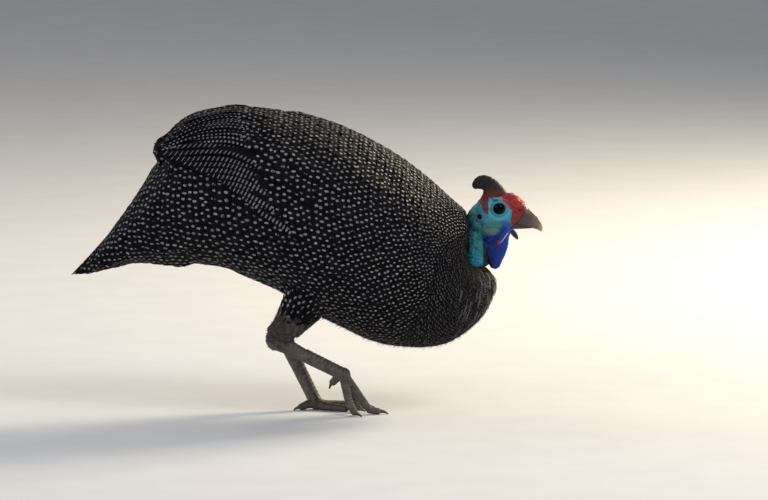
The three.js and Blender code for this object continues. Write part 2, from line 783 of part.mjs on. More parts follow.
// Colours and finishes
const paint = (color, roughness) => new THREE.MeshStandardMaterial({ color, roughness });
const PLUMAGE = paint(0x26272d, 0.75);
const BARE_BLUE = paint(0x2f8fb0, 0.55);
const BARE_RED = paint(0xa3201c, 0.5);
const DEEP_BLUE = paint(0x17308f, 0.5);
const CASQUE_HORN = paint(0x3a2c28, 0.6);
const BILL_HORN = paint(0x6d625c, 0.4);
const EYE_DARK = paint(0x120b08, 0.08);
const LEG_SCALES = paint(0x3c3532, 0.6);

const bird = new THREE.Group();
function place(name, solid, material) {
  const mesh = new THREE.Mesh(geometryOf(largest(solid)), material);
  mesh.name = name;
  bird.add(mesh);
}

// Solids swollen by the slit, to cut their neighbours with
const bodyGrown = bodyLoft(GAP);
const headGrown = headLoft(GAP);
const neckGrown = neckLoft(GAP);
const foldGrown = foldLoft(GAP);
const eyes = BOTH_SIDES.map((side) => [EYE_AT[0], side * EYE_SET, EYE_AT[1]]);
const eyeBall = (centre, grow) => {
  const r = EYE_RADIUS + grow;
  return ball(centre, [r, r, r], [12, 8]);
};

// Torso and tail
place("torso", cutBy(bodyLoft(0), behindRump(0), neckGrown), PLUMAGE);
const leftTail = unite(tailVanes());
const wholeTail = unite([tailCore(), leftTail, leftTail.mirror([0, 1, 0])]);
place("tail", wholeTail.intersect(behindRump(-GAP)), PLUMAGE);

// Wings
const wing = unite([wingCore(), ...wingVanes()]);
const ownSide = wing.intersect(leftOf(GAP / 2));
place("wing_left", cutBy(ownSide, bodyGrown), PLUMAGE);
place("wing_right", cutBy(ownSide.mirror([0, 1, 0]), bodyGrown), PLUMAGE);

// Head and neck
place("neck", cutBy(neckLoft(0), headGrown), BARE_BLUE);
place(
  "head",
  headSolid(eyes.map((centre) => eyeBall(centre, GAP))),
  BARE_RED,
);
place("casque", cutBy(ribbed(CASQUE, { sides: 12, steps: 1 }), headGrown), CASQUE_HORN);
const upperBill = (grow) => ribbed(UPPER_BILL, { sides: 12, steps: 1, grow });
const lowerBill = (grow) => ribbed(LOWER_BILL, { sides: 12, steps: 1, grow });
place("bill_upper", cutBy(upperBill(0), headGrown), BILL_HORN);
place("bill_lower", cutBy(lowerBill(0), headGrown, upperBill(GAP)), BILL_HORN);
place(
  "throat_fold",
  cutBy(foldLoft(0), headGrown, neckGrown, bodyGrown, lowerBill(GAP)),
  DEEP_BLUE,
);
eyes.forEach((centre, i) => place(`eye_${["left", "right"][i]}`, eyeBall(centre, 0), EYE_DARK));
place("wattle_right", cutBy(wattle(-1, [179.5, -14.5, 161.2], 1.5), headGrown, foldGrown), DEEP_BLUE);
place("wattle_left", cutBy(wattle(1, [199.6, 15.5, 162.6], 1.5), headGrown, foldGrown), DEEP_BLUE);

// Legs, feet and claws
const floor = floorBelow(0);
for (const [name, leg] of Object.entries(LEGS)) {
  const padGrown = ball(leg.ball, PAD.map((r) => r + GAP), [10, 6]);
  place(`shank_${name}`, cutBy(shank(leg), aboveAnkle(leg, 0), padGrown), LEG_SCALES);
  place(
    `thigh_${name}`,
    cutBy(thigh(leg).intersect(aboveAnkle(leg, GAP)), bodyGrown),
    PLUMAGE,
  );
  const shankGrown = limb([[leg.ankle, SHANK[0] + 0.6, SHANK[1] + 1.6], [leg.ball, SHANK[0] + 0.6, SHANK[1] + 1.6]]);
  const toes = Object.values(TOES[name]).map((points) => toe(points));
  const foot = unite([ball(leg.ball, PAD, [10, 6]), ...toes.map((t) => cutBy(t, shankGrown))]);
  place(`foot_${name}`, cutBy(foot, floor), LEG_SCALES);
  for (const [digit, tip] of Object.entries(CLAWS[name])) {
    const points = TOES[name][digit];
    place(`claw_${digit}_${name}`, cutBy(claw(points, tip), toe(points, GAP), floor), BILL_HORN);
  }
}

export default bird;
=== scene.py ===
# %% [markdown]
# # A helmeted guinea fowl in its running step
# The bird is a dark egg of small spotted feathers with a bare, brightly coloured head and scaled legs.
# Its solids come in as a fixed frame: they say where everything is and how big. This lesson dresses
# them: a skin under the feathers, the bare head and legs in full detail, then some thousands of
# feathers laid over one another as on the real bird, each a thin closed mesh with its own spots.

import math

import bmesh
import bpy
import numpy as np
from mathutils.bvhtree import BVHTree
from mathutils.kdtree import KDTree
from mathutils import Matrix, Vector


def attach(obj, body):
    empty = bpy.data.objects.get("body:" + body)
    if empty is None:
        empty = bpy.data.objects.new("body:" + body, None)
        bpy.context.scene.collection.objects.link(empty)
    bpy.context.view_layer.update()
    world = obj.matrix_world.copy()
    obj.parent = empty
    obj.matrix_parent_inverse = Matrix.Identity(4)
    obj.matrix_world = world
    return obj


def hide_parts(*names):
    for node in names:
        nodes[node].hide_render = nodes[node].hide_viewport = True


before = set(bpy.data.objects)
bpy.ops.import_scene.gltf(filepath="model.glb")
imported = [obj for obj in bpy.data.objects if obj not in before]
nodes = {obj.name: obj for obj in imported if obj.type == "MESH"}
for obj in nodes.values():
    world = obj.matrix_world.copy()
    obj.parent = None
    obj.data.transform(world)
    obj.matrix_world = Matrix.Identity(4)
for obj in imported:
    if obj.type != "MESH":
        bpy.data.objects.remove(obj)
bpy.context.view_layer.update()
MM = 0.001
rng = np.random.default_rng(11)

# %% [markdown]
# ## Where the camera stands
# The photo was taken with a long lens from the bird's right, a little above its back. A long lens
# far away keeps the bird nearly free of perspective, so a 400 mm lens stands 8 m off and is tilted
# down by 7 degrees. Four big soft lamps and a pale grey sky are a plain studio.

# %% Camera and lamps
SEEN_AT = np.array([72.2, 0.0, 154.0]) * MM
CAMERA_TILT = math.radians(7)
CAMERA_AWAY = 8.11


def look_from(obj, place, target):
    """Stands an object at a place with its -Z axis pointing at the target."""
    obj.location = place
    away = Vector(place) - Vector(target)
    obj.rotation_euler = away.to_track_quat("Z", "Y").to_euler()


camera = bpy.data.objects.new("camera", bpy.data.cameras.new("camera"))
camera.data.lens = 400
camera.data.sensor_width = 36
camera.data.clip_end = 100
bpy.context.collection.objects.link(camera)
bpy.context.scene.camera = camera
back_off = np.array([0, -math.cos(CAMERA_TILT), math.sin(CAMERA_TILT)]) * CAMERA_AWAY
look_from(camera, tuple(SEEN_AT + back_off), tuple(SEEN_AT))

LAMPS = {
    "key_lamp": ((1.3, -1.3, 1.9), 24, 1.1, (1.0, 0.97, 0.93)),
    "fill_lamp": ((-1.7, -1.4, 1.0), 12, 1.6, (0.93, 0.96, 1.0)),
    "rim_lamp": ((1.65, 1.35, 1.15), 78, 0.8, (1.0, 0.83, 0.60)),
    "rear_lamp": ((-1.6, 1.0, 1.3), 9, 1.2, (0.97, 0.98, 1.0)),
}
for lamp_name, (place, watts, width, colour) in LAMPS.items():
    lamp = bpy.data.lights.new(lamp_name, "AREA")
    lamp.energy = watts
    lamp.size = width
    lamp.color = colour
    holder = bpy.data.objects.new(lamp_name, lamp)
    bpy.context.collection.objects.link(holder)
    look_from(holder, place, (0, 0, 0.15))

world = bpy.data.worlds.new("studio")
bpy.context.scene.world = world
world.use_nodes = True
sky = world.node_tree.nodes["Background"]
sky.inputs["Color"].default_value = (0.86, 0.88, 0.92, 1)
sky.inputs["Strength"].default_value = 0.33
# The plain transform keeps the blacks of the plumage and the pure blues and reds of the head.
bpy.context.scene.view_settings.view_transform = "Standard"
print("camera", CAMERA_AWAY, "m away, lamps", len(LAMPS))

# %% [markdown]
# ## Finishes
# Each finish is a small node tree on the Principled shader. Colours shift softly with noise that is
# measured in the object's own millimetres, and fine relief comes from bump. A helper builds the
# parts that all of them share, so that each finish below only says what is special to it.


# %% Helpers for finishes
class Finish:
    """A material with short calls for the nodes that the finishes below need."""

    def __init__(self, name, roughness=0.6, **fixed):
        self.material = bpy.data.materials.new(name)
        self.material.use_nodes = True
        self.tree = self.material.node_tree
        self.shader = self.tree.nodes["Principled BSDF"]
        self.shader.inputs["Roughness"].default_value = roughness
        for socket, value in fixed.items():
            self.shader.inputs[socket.replace("_", " ")].default_value = value
        self.place = self.node("ShaderNodeTexCoord").outputs["Object"]

    def node(self, kind, **settings):
        made = self.tree.nodes.new(kind)
        for key, value in settings.items():
            setattr(made, key, value)
        return made

    def join(self, source, socket):
        self.tree.links.new(source, socket)

    def noise(self, size_mm, detail=2.0, stretch=(1, 1, 1)):
        """Soft noise whose blotches are about size_mm across."""
        scale = self.node("ShaderNodeMapping")
        scale.inputs["Scale"].default_value = [s / (size_mm * MM) for s in stretch]
        self.join(self.place, scale.inputs["Vector"])
        noise = self.node("ShaderNodeTexNoise")
        noise.inputs["Scale"].default_value = 1.0
        noise.inputs["Detail"].default_value = detail
        self.join(scale.outputs[0], noise.inputs["Vector"])
        return noise.outputs["Fac"]

    def cells(self, size_mm):
        """Distance to the nearest of many scattered points, about size_mm apart."""
        scale = self.node("ShaderNodeMapping")
        scale.inputs["Scale"].default_value = [1 / (size_mm * MM)] * 3
        self.join(self.place, scale.inputs["Vector"])
        cells = self.node("ShaderNodeTexVoronoi", feature="F1")
        cells.inputs["Scale"].default_value = 1.0
        self.join(scale.outputs[0], cells.inputs["Vector"])
        return cells.outputs["Distance"]

    def ramp(self, value, stops):
        """A colour for each value, as (value, (r, g, b)) stops."""
        ramp = self.node("ShaderNodeValToRGB")
        elements = ramp.color_ramp.elements
        while len(elements) < len(stops):
            elements.new(0.5)
        for element, (at, colour) in zip(elements, stops):
            element.position = at
            element.color = (*colour, 1)
        self.join(value, ramp.inputs["Fac"])
        return ramp.outputs["Color"]

    def stored(self, name):
        return self.node("ShaderNodeAttribute", attribute_name=name).outputs["Color"]

    def mix(self, share, a, b, blend="MIX"):
        mixer = self.node("ShaderNodeMix", data_type="RGBA", blend_type=blend)
        for source, socket in ((share, 0), (a, 6), (b, 7)):
            if isinstance(source, (int, float)):
                mixer.inputs[socket].default_value = source
            elif isinstance(source, tuple):
                mixer.inputs[socket].default_value = (*source, 1)
            else:
                self.join(source, mixer.inputs[socket])
        return mixer.outputs[2]

    def sums(self, operation, a, b=None):
        maths = self.node("ShaderNodeMath", operation=operation)
        for source, socket in ((a, 0), (b, 1)):
            if source is None:
                continue
            if isinstance(source, (int, float)):
                maths.inputs[socket].default_value = source
            else:
                self.join(source, maths.inputs[socket])
        return maths.outputs[0]

    def share_along(self, axis, low_mm, high_mm):
        """0 to 1 between two places along one of the object's own axes."""
        apart = self.node("ShaderNodeSeparateXYZ")
        self.join(self.place, apart.inputs[0])
        share = self.node("ShaderNodeMapRange")
        share.inputs["From Min"].default_value = low_mm * MM
        share.inputs["From Max"].default_value = high_mm * MM
        self.join(apart.outputs[axis], share.inputs["Value"])
        return share.outputs[0]

    def spread(self, value, low, high):
        """Maps a 0 to 1 value onto low to high."""
        span = self.node("ShaderNodeMapRange")
        span.inputs["To Min"].default_value = low
        span.inputs["To Max"].default_value = high
        self.join(value, span.inputs["Value"])
        return span.outputs[0]

    def bump(self, height, depth_mm, under=None):
        bump = self.node("ShaderNodeBump")
        bump.inputs["Distance"].default_value = depth_mm * MM
        bump.inputs["Strength"].default_value = 1.0
        self.join(height, bump.inputs["Height"])
        if under is not None:
            self.join(under, bump.inputs["Normal"])
        return bump.outputs["Normal"]

    def finish(self, colour=None, normal=None, roughness=None):
        if colour is not None:
            self.join(colour, self.shader.inputs["Base Color"])
        if normal is not None:
            self.join(normal, self.shader.inputs["Normal"])
        if roughness is not None:
            self.join(roughness, self.shader.inputs["Roughness"])
        return self.material


# %% [markdown]
# The floor is only a stage: a wide pale sheet with the faintest grain.

# %% Floor
floor_mesh = bpy.data.meshes.new("floor")
floor_mesh.from_pydata([(-30, -30, 0), (30, -30, 0), (30, 30, 0), (-30, 30, 0)], [], [(0, 1, 2, 3)])
floor = bpy.data.objects.new("floor", floor_mesh)
bpy.context.collection.objects.link(floor)
paper = Finish("studio_paper", roughness=0.85)
pale_grain = paper.ramp(paper.noise(60), [(0.3, (0.645, 0.66, 0.68)), (0.7, (0.675, 0.69, 0.71))])
floor_mesh.materials.append(paper.finish(pale_grain))

# %% [markdown]
# ## From solids to living forms
# The solids meet with thin slits, and the skin of a bird has none. So nodes that are one flesh are
# joined, swollen by a hair and remeshed on a fine grid, which welds them, and then smoothed. Blender's
# voxel remesh does the welding; the smoothing is a plain average of neighbours in numpy.

# %% Soft steps and hills
def soft(value, low, high):
    """0 below low, 1 above high and an eased step between."""
    t = np.clip((value - low) / (high - low), 0, 1)
    return t * t * (3 - 2 * t)


def hill(distance, width):
    """1 at no distance, falling away smoothly over the width."""
    return np.exp(-((distance / width) ** 2))


# %% [markdown]
# To smooth a mesh, each point moves towards the mean of its neighbours. Done alone this shrinks the
# form, so every second round pushes a little further back out.

# %% Smoothing
SMOOTH_PULL = 0.5


def edges_of(faces):
    pairs = np.vstack([faces[:, [k, (k + 1) % faces.shape[1]]] for k in range(faces.shape[1])])
    return np.unique(np.sort(pairs, axis=1), axis=0)


def smoothed(points, faces, rounds):
    """Moves each point towards the mean of its neighbours and back out, so little volume is lost."""
    a, b = edges_of(faces).T
    degree = np.bincount(np.r_[a, b], minlength=len(points))[:, None]
    points = points.copy()
    for i in range(rounds * 2):
        total = np.zeros_like(points)
        for k in range(3):
            total[:, k] = np.bincount(a, points[b, k], len(points)) + np.bincount(
                b, points[a, k], len(points)
            )
        pull = SMOOTH_PULL if i % 2 == 0 else -SMOOTH_PULL * 1.02
        points += pull * (total / degree - points)
    return points


def point_normals(points, faces):
    corner = points[faces]
    across = np.cross(corner[:, 2] - corner[:, 0], corner[:, 3 % faces.shape[1]] - corner[:, 1])
    out = np.zeros_like(points)
    for k in range(faces.shape[1]):
        for axis in range(3):
            out[:, axis] += np.bincount(faces[:, k], across[:, axis], len(points))
    return out / np.maximum(np.linalg.norm(out, axis=1, keepdims=True), 1e-12)


# %% [markdown]
# The remesh can leave small bubbles where two solids touch. A label that spreads along the edges
# finds the pieces that hang together, and only the largest is kept.

# %% Welding
def largest_piece(points, faces):
    """The points and faces of the largest piece that hangs together."""
    a, b = edges_of(faces).T
    label = np.arange(len(points))
    while True:
        low = np.minimum(label[a], label[b])
        before = label.copy()
        np.minimum.at(label, a, low)
        np.minimum.at(label, b, low)
        label = label[label]
        if (label == before).all():
            break
    keep = label == np.bincount(label).argmax()
    renumber = np.cumsum(keep) - 1
    return points[keep], renumber[faces[keep[faces].all(axis=1)]]


def welded(names, voxel, rounds, swell=0.3):
    """One closed skin round several nodes, as points in millimetres and quads."""
    both = bmesh.new()
    for name in names:
        part = bmesh.new()
        part.from_mesh(nodes[name].data)
        bmesh.ops.remove_doubles(part, verts=part.verts, dist=1e-6)
        part.normal_update()
        moved = [v.co + v.normal * swell * MM for v in part.verts]
        for v, place in zip(part.verts, moved):
            v.co = place
        spare = bpy.data.meshes.new("spare")
        part.to_mesh(spare)
        both.from_mesh(spare)
        bpy.data.meshes.remove(spare)
        part.free()
    mesh = bpy.data.meshes.new("welding")
    both.to_mesh(mesh)
    both.free()
    work = bpy.data.objects.new("welding", mesh)
    bpy.context.collection.objects.link(work)
    remesh = work.modifiers.new("weld", "REMESH")
    remesh.mode = "VOXEL"
    remesh.voxel_size = voxel * MM
    grid = work.evaluated_get(bpy.context.evaluated_depsgraph_get()).to_mesh()
    points = np.zeros(len(grid.vertices) * 3)
    grid.vertices.foreach_get("co", points)
    faces = np.array([tuple(p.vertices) for p in grid.polygons if len(p.vertices) == 4])
    points = points.reshape(-1, 3) / MM
    bpy.data.objects.remove(work)
    bpy.data.meshes.remove(mesh)
    points, faces = largest_piece(points, faces)
    return smoothed(points, faces, rounds), faces


def triangles_of(quads):
    return np.vstack([quads[:, [0, 1, 2]], quads[:, [0, 2, 3]]])


# %% [markdown]
# The plumage surface is the first weld: body, wings, tail and drumsticks as one form. It is only a
# guide. The skin lies under it, and the feathers are laid over it.

# %% Plumage surface
BODY_NODES = ["torso", "tail", "wing_left", "wing_right", "thigh_left", "thigh_right", "neck"]
plumage_points, plumage_faces = welded(BODY_NODES, 3.4, 5)
# Behind the bare neck the plumage is hollowed, so that the whole width of the neck stands clear.
HOLLOW_FRONT = 148.5
in_hollow = soft(plumage_points[:, 2], 138, 146) * (1 - soft(plumage_points[:, 2], 168, 182))
proud = np.maximum(plumage_points[:, 0] - HOLLOW_FRONT, 0)
plumage_points[:, 0] -= 0.72 * proud * in_hollow
# Above it the ruffled nape feathers stand forward towards the head.
plumage_points[:, 0] += 4.2 * hill(plumage_points[:, 2] - 186, 13) * soft(plumage_points[:, 0], 116, 142)
plumage_normals = point_normals(plumage_points, plumage_faces)
plumage = BVHTree.FromPolygons(plumage_points.tolist(), triangles_of(plumage_faces).tolist())
print("plumage surface", len(plumage_points), "points")

# %% [markdown]
# ## The bare head
# A guinea fowl's head is naked skin, so it gets the finest grid. The solids give its form: crown,
# cheeks, brow, throat fold and wattles. Code then works the skin as a sculptor would, moving points
# along their normals: lids and rings of wrinkles round the eye, warts on the cere, cross folds down
# the neck, and a rim round the ear.

# %% Head skin
HEAD_NODES = ["head", "neck", "throat_fold", "wattle_left", "wattle_right"]
head_points, head_faces = welded(HEAD_NODES, 0.62, 3, swell=0.22)
EYE_AT = np.array([181.4, 10.0, 195.3])
EYE_RADIUS = 7.0
EAR_AT = np.array([162.6, 13.4, 187.3])
CERE_AT = np.array([198.0, 0.0, 203.0])
JAW_PIT_AT = (163.6, 179.9)
NOSTRIL_HOOD_AT = (200.0, 194.6)
NOSTRIL_PIT_AT = (202.0, 192.4)
FOLD_TIP_X = 178.4
WATTLES = {
    -1: ((190.5, -9.4, 176.4), (179.5, -14.5, 161.2)),
    1: ((190.5, 9.4, 176.4), (199.6, 15.5, 162.6)),
}
print("head skin", len(head_points), "points")


def bumps(points, size, seed):
    """Smooth lumps about size mm apart, from about -1 to 1: crossed waves with shaken phases."""
    shake = np.random.default_rng(seed)
    total = np.zeros(len(points))
    for _ in range(7):
        wave = shake.normal(size=3)
        wave *= 2 * math.pi / (size * 1.6) / np.linalg.norm(wave)
        total += np.sin(points @ wave + shake.uniform(0, 6.28))
    return total / 3.2


def one_side(points):
    """The points folded onto the bird's left, since both sides of the head are alike."""
    return np.where(points[:, 1:2] < 0, points * [1, -1, 1], points)


def on_wattle(points, side):
    """How far along a wattle each point lies, whether it belongs to it, and how far across its blade."""
    root, tip = (np.array(p) for p in WATTLES[side])
    length = np.linalg.norm(tip - root)
    along = (tip - root) / length
    reach = (points - root) @ along
    off_line = np.linalg.norm(points - root - reach[:, None] * along, axis=1)
    share = soft(-off_line, -7.0, -6.0) * soft(side * points[:, 1], 7.6, 8.6) * soft(reach, 0, 3)
    across = np.cross(along, [0, 1, 0])
    across /= np.linalg.norm(across)
    return reach / length, share, across, (points - root) @ across


# %% [markdown]
# The solids leave a slit of daylight between neck and throat fold, where there is only deep shade. The
# neck's front and the fold's rear edge are drawn together to close it, the fold's tip is rounded, and
# the wattles are pressed thinner, before any wrinkle is cut. The skin that closes the slit is painted near
# black as shade.

# %% Web, fold tip and wattles
normals = point_normals(head_points, head_faces)
x, y, z = head_points.T
at_web = soft(z, 137, 141) * (1 - soft(z, 160, 168)) * (np.abs(y) < 9.5)
neck_front = at_web * soft(normals[:, 0], 0.05, 0.6) * (x < 168.4)
fold_rear = at_web * soft(-normals[:, 0], 0.3, 0.8) * soft(x, 166.5, 168) * (np.abs(y) < 4.5)
head_points[:, 0] += 5.2 * neck_front - 2.4 * fold_rear
at_tip = soft(-head_points[:, 2], -149, -140.5) * (x > 166)
head_points[:, 2] -= 3.4 * at_tip * np.clip(1 - ((x - FOLD_TIP_X) / 6.5) ** 2, 0, 1)
for side in WATTLES:
    _, share, across, off = on_wattle(head_points, side)
    head_points -= (0.5 * share * off)[:, None] * across
head_points = smoothed(head_points, head_faces, 2)
# The lids stand open wider than in the solids, as an oval a little longer than high.
x, y, z = one_side(head_points).T
eye_oval = np.hypot((x - EYE_AT[0]) / 1.1, z - EYE_AT[2])
opened = soft(-eye_oval, -5.9, -4.9) * np.clip((y - 6) / 4, 0, 1)
head_points = head_points - point_normals(head_points, head_faces) * (1.3 * opened)[:, None]
# The lid margin is drawn in round the eye.
closing = 1.15 * hill(eye_oval - 6.3, 1.3) * np.clip((y - 6) / 4, 0, 1)
head_points[:, 0] -= closing * (x - EYE_AT[0]) / np.maximum(eye_oval, 1)
head_points[:, 2] -= closing * (z - EYE_AT[2]) / np.maximum(eye_oval, 1)

# %% [markdown]
# Then the relief. Each form is a hill or a groove along a distance: rings round the eye, a rim round
# the ear hole, warts on the cere, a hood over the nostril and a rough collar where the casque leaves
# the skin. The cross folds of the neck are a sine wave that noise has shaken.

# %% Lids, folds and warts
x, y, z = one_side(head_points).T
normals = point_normals(head_points, head_faces)
from_eye = np.hypot((x - EYE_AT[0]) / 1.08, z - EYE_AT[2])
on_side = np.clip((y - 6) / 4, 0, 1)
lift = 0.65 * hill(from_eye - 6.7, 0.7) - 0.38 * hill(from_eye - 8.3, 0.6)
lift += 0.28 * hill(from_eye - 9.4, 0.7) - 0.20 * hill(from_eye - 10.6, 0.6)
lift *= on_side * (1 + 0.45 * bumps(head_points, 3.0, 9))
from_ear = np.hypot(x - EAR_AT[0], z - EAR_AT[2])
lift += on_side * (0.5 * hill(from_ear - 3.4, 0.9) - 1.6 * hill(from_ear, 1.8))
from_pit = np.hypot((x - JAW_PIT_AT[0]) / 1.4, z - JAW_PIT_AT[1])
lift -= on_side * 0.6 * hill(from_pit, 1.5)
cere = hill(np.linalg.norm(head_points - CERE_AT, axis=1), 8.5)
lift += cere * 1.5 * (np.abs(bumps(head_points, 2.2, 3)) ** 0.7 - 0.25)
from_hood = np.hypot(x - NOSTRIL_HOOD_AT[0], z - NOSTRIL_HOOD_AT[1])
from_nostril = np.hypot((x - NOSTRIL_PIT_AT[0]) / 1.9, z - NOSTRIL_PIT_AT[1])
lift += 0.7 * hill(from_hood, 2.6) - 1.2 * hill(from_nostril, 0.9)
casque_tree = BVHTree.FromPolygons(
    [tuple(v.co / MM) for v in nodes["casque"].data.vertices],
    [tuple(f.vertices) for f in nodes["casque"].data.polygons],
)
to_casque = np.array([casque_tree.find_nearest(Vector(p))[3] for p in head_points])
lift += 0.85 * hill(to_casque, 1.6) * (1 + 0.4 * bumps(head_points, 2.0, 17))
neckward = soft(-z, -178, -166) * soft(-x, -181, -175)
folds = np.sin((z + 0.35 * x + 1.4 * bumps(head_points, 14, 5)) * 2 * math.pi / 3.3)
lift += neckward * (0.15 * folds + 0.22 * bumps(head_points, 2.6, 6) + 0.18 * bumps(head_points, 1.7, 8))
lift += 0.10 * bumps(head_points, 1.5, 12) + 0.18 * bumps(head_points, 4.5, 13)
jowl = hill(z - 177.0, 7) * soft(x, 164, 168) * soft(-x, -188, -182) * on_side
lift += jowl * (0.5 * hill(z - 182.2, 1.1) + 0.5 * hill(z - 173.4, 1.2) + 0.3 * hill(z - 177.8, 0.9))
cheek_line = x - 164.5 - 0.25 * (180 - z)
lift -= 0.5 * on_side * hill(cheek_line, 0.7) * soft(z, 168, 172) * (1 - soft(z, 190, 194))
keep_lid = 1 - on_side * soft(-from_eye, -6.0, -5.4)
head_points = head_points + normals * (lift * keep_lid)[:, None]
print("wrinkles cut", round(float(lift.max()), 2), "mm at most")


# %% [markdown]
# The head's colours sit in clear fields: turquoise round the eye and on the cheek, teal down the
# neck, deep ultramarine on the throat, red on crown, brow and cere, and olive stripes on the jaw.
# Each field is painted into a colour stored on the points. Its border is a line in side view, made
# ragged by noise, because the skin's colours meet in a frayed edge and not in a blend.

# %% Head colours
TURQUOISE = (0.028, 0.31, 0.46)
PALE_TURQUOISE = (0.10, 0.50, 0.64)
TEAL = (0.018, 0.21, 0.31)
PALE_TEAL = (0.085, 0.33, 0.38)
BRIGHT_TEAL = (0.018, 0.33, 0.50)
ULTRAMARINE = (0.002, 0.030, 0.31)
BRIGHT_BLUE = (0.004, 0.085, 0.48)
RED = (0.37, 0.008, 0.011)
DULL_RED = (0.17, 0.024, 0.024)
DARK_RED = (0.065, 0.009, 0.010)
BROWN_RED = (0.15, 0.018, 0.020)
ORANGE_RED = (0.62, 0.075, 0.018)
OLIVE = (0.20, 0.17, 0.060)
SEA_GREEN = (0.045, 0.23, 0.22)
EAR_BROWN_AND_PIT_SHADE = (0.055, 0.028, 0.020)
SHADE_BLACK = (0.005, 0.006, 0.015)
WART_ORANGE_AND_HIGHLIGHT = (0.80, 0.26, 0.11)
BROW_HIGHLIGHT_PINK = (0.80, 0.30, 0.24)
CREASE_SHADE_BLUE = (0.010, 0.055, 0.085)
LID_DARK = (0.006, 0.018, 0.028)
FAR_WATTLE_SHADE = (0.012, 0.02, 0.05)
WATTLE_HIGHLIGHT = (0.70, 0.60, 0.60)
WATTLE_RED = (0.52, 0.010, 0.025)
paint = np.tile(np.array(TEAL), (len(head_points), 1))


def paint_over(colour, share):
    """Lays a colour over the head's paint, by a share of 0 to 1 at each point."""
    paint[:] = paint + (np.array(colour) - paint) * np.clip(share, 0, 1)[:, None]


# %% [markdown]
# First the blues and greens: teal with paler and brighter streaks down the neck, turquoise on the
# cheek, sea green with olive stripes on the jaw, and the deep blue of the throat. The skin between
# neck and fold, and the base of the neck, are painted near black as shade.

# %% Neck, cheek, jaw and throat
x, y, z = one_side(head_points).T
ragged = 1.1 * bumps(head_points, 3.2, 21) + 0.5 * bumps(head_points, 1.3, 29)
paint_over(PALE_TEAL, 0.8 * soft(bumps(head_points, 5, 22) + hill(x - 158, 6), 0.2, 1.2))
paint_over(SEA_GREEN, 0.5 * soft(bumps(head_points, 3, 25), 0.4, 0.9))
streaked = bumps(head_points * [1, 1, 0.45], 2.6, 26)
paint_over(BRIGHT_TEAL, 0.8 * soft(streaked + 0.10 * (160 - z), 0.1, 1.0) * (z < 186))
cheek = soft(z + ragged, 181, 185) * soft(x + ragged - 0.3 * (z - 180), 160, 164)
paint_over(TURQUOISE, cheek)
paint_over(PALE_TURQUOISE, 0.8 * hill(from_eye - 9.2, 2.2) * on_side)
jaw_left = 164.0 + 0.05 * (z - 176) ** 2 + 0.5 * ragged
jaw = soft(z + 0.5 * ragged, 165.5, 173.5) * (1 - soft(z + 0.3 * ragged, 180.0, 184.5))
jaw = jaw * soft(x - jaw_left, -1, 6)
paint_over(SEA_GREEN, 0.8 * jaw * on_side)
curved = z + 0.012 * (x - 172) ** 2 + 0.5 * bumps(head_points, 4, 23)
stripes = 0.75 * hill(curved - 182.0, 0.7) + hill(curved - 174.2, 1.1) + 0.45 * hill(curved - 171.6, 0.6)
stripes *= soft(x - jaw_left, 0.5, 4) * soft(-x - ragged, -183.5, -177)
paint_over(OLIVE, 0.9 * np.minimum(stripes, 1) * on_side)
fold_share = soft(-z + 0.6 * ragged, -172.0, -167) * soft(x - 0.25 * (166 - z), 165.0, 166.5)
paint_over(ULTRAMARINE, fold_share)
paint_over(BRIGHT_BLUE, 0.55 * fold_share * soft(x, 182, 190))
blue_cheek = soft(x + 0.7 * ragged, 182.5, 185.5) * (1 - soft(z + 0.4 * (x - 184), 182, 186))
blue_cheek = blue_cheek * soft(z, 166, 170)
paint_over(BRIGHT_BLUE, 0.9 * blue_cheek)
# Painted shade: the skin between neck and fold, and the base of the neck where it meets the body, are painted
# near black.
web_shade = soft(-z, -168, -164) * soft(x, 165.6, 166.6) * (1 - soft(x - 0.28 * (155 - z), 169.8, 170.8))
neck_base_shade = soft(-z, -143, -138) * soft(x, 160, 163) * (1 - soft(x, 171, 173))
paint_over(SHADE_BLACK, np.maximum(web_shade, neck_base_shade))

# %% [markdown]
# Then the reds over them: crown, brow and cere, darker behind the eye and mottled everywhere, with
# orange on the warts that is brightened on their tops as a painted highlight, and a pale pink painted
# highlight along the brow. The line of the brow is measured in side view, as heights and lengths.

# %% Crown, brow and cere
BROW_LINE = [(178, 191.6), (185.7, 192.5), (193.1, 193.1), (197.5, 189.3), (202.6, 183.6), (206.5, 181.0)]
crown = soft(z + 0.6 * ragged, 205.2, 206.6) + soft(z + 0.6 * ragged, 201.0, 202.4) * (x < 171.6)
behind_eye = (x + 0.4 * ragged < 171.2) * soft(x - 161.5 - 0.61 * (201.1 - z) + 0.5 * ragged, -0.5, 0.8)
behind_eye = behind_eye * soft(z + 0.5 * ragged, 189.0, 190.6)
paint_over(RED, crown * 0.95)
paint_over(BROWN_RED, behind_eye * 0.95)
paint_over(DARK_RED, 0.7 * behind_eye * soft(bumps(head_points, 2.5, 33), -0.2, 0.6))
brow_line = np.interp(z, *np.array(BROW_LINE).T)
lore = soft(x - brow_line + 0.35 * ragged, -0.5, 0.6) * soft(z, 177.6, 179.4)
paint_over(RED, lore)
paint_over(DULL_RED, 0.85 * lore * soft(-z + 0.5 * ragged, -190.5, -187) * soft(x, 192, 196))
paint_over(DARK_RED, 0.9 * hill(np.hypot((x - 201.5) / 1.2, z - 193.4), 2.6))
paint_over(ORANGE_RED, soft(cere, 0.25, 0.8) * soft(z, 199, 203))
reds = np.maximum(crown, lore) * soft(bumps(head_points, 2.4, 35), 0.15, 0.95) * (1 - soft(cere, 0.3, 0.7))
paint_over(DARK_RED, 0.5 * reds)
# The tops of the warts on the upper cere are painted bright orange: partly the warts' own orange, partly a
# painted highlight of light falling on them.
warts = np.abs(bumps(head_points, 2.2, 3))
warts = soft(warts, 0.45, 0.95) * soft(cere, 0.3, 0.8) * soft(z, 200, 203)
paint_over(WART_ORANGE_AND_HIGHLIGHT, 0.55 * warts)
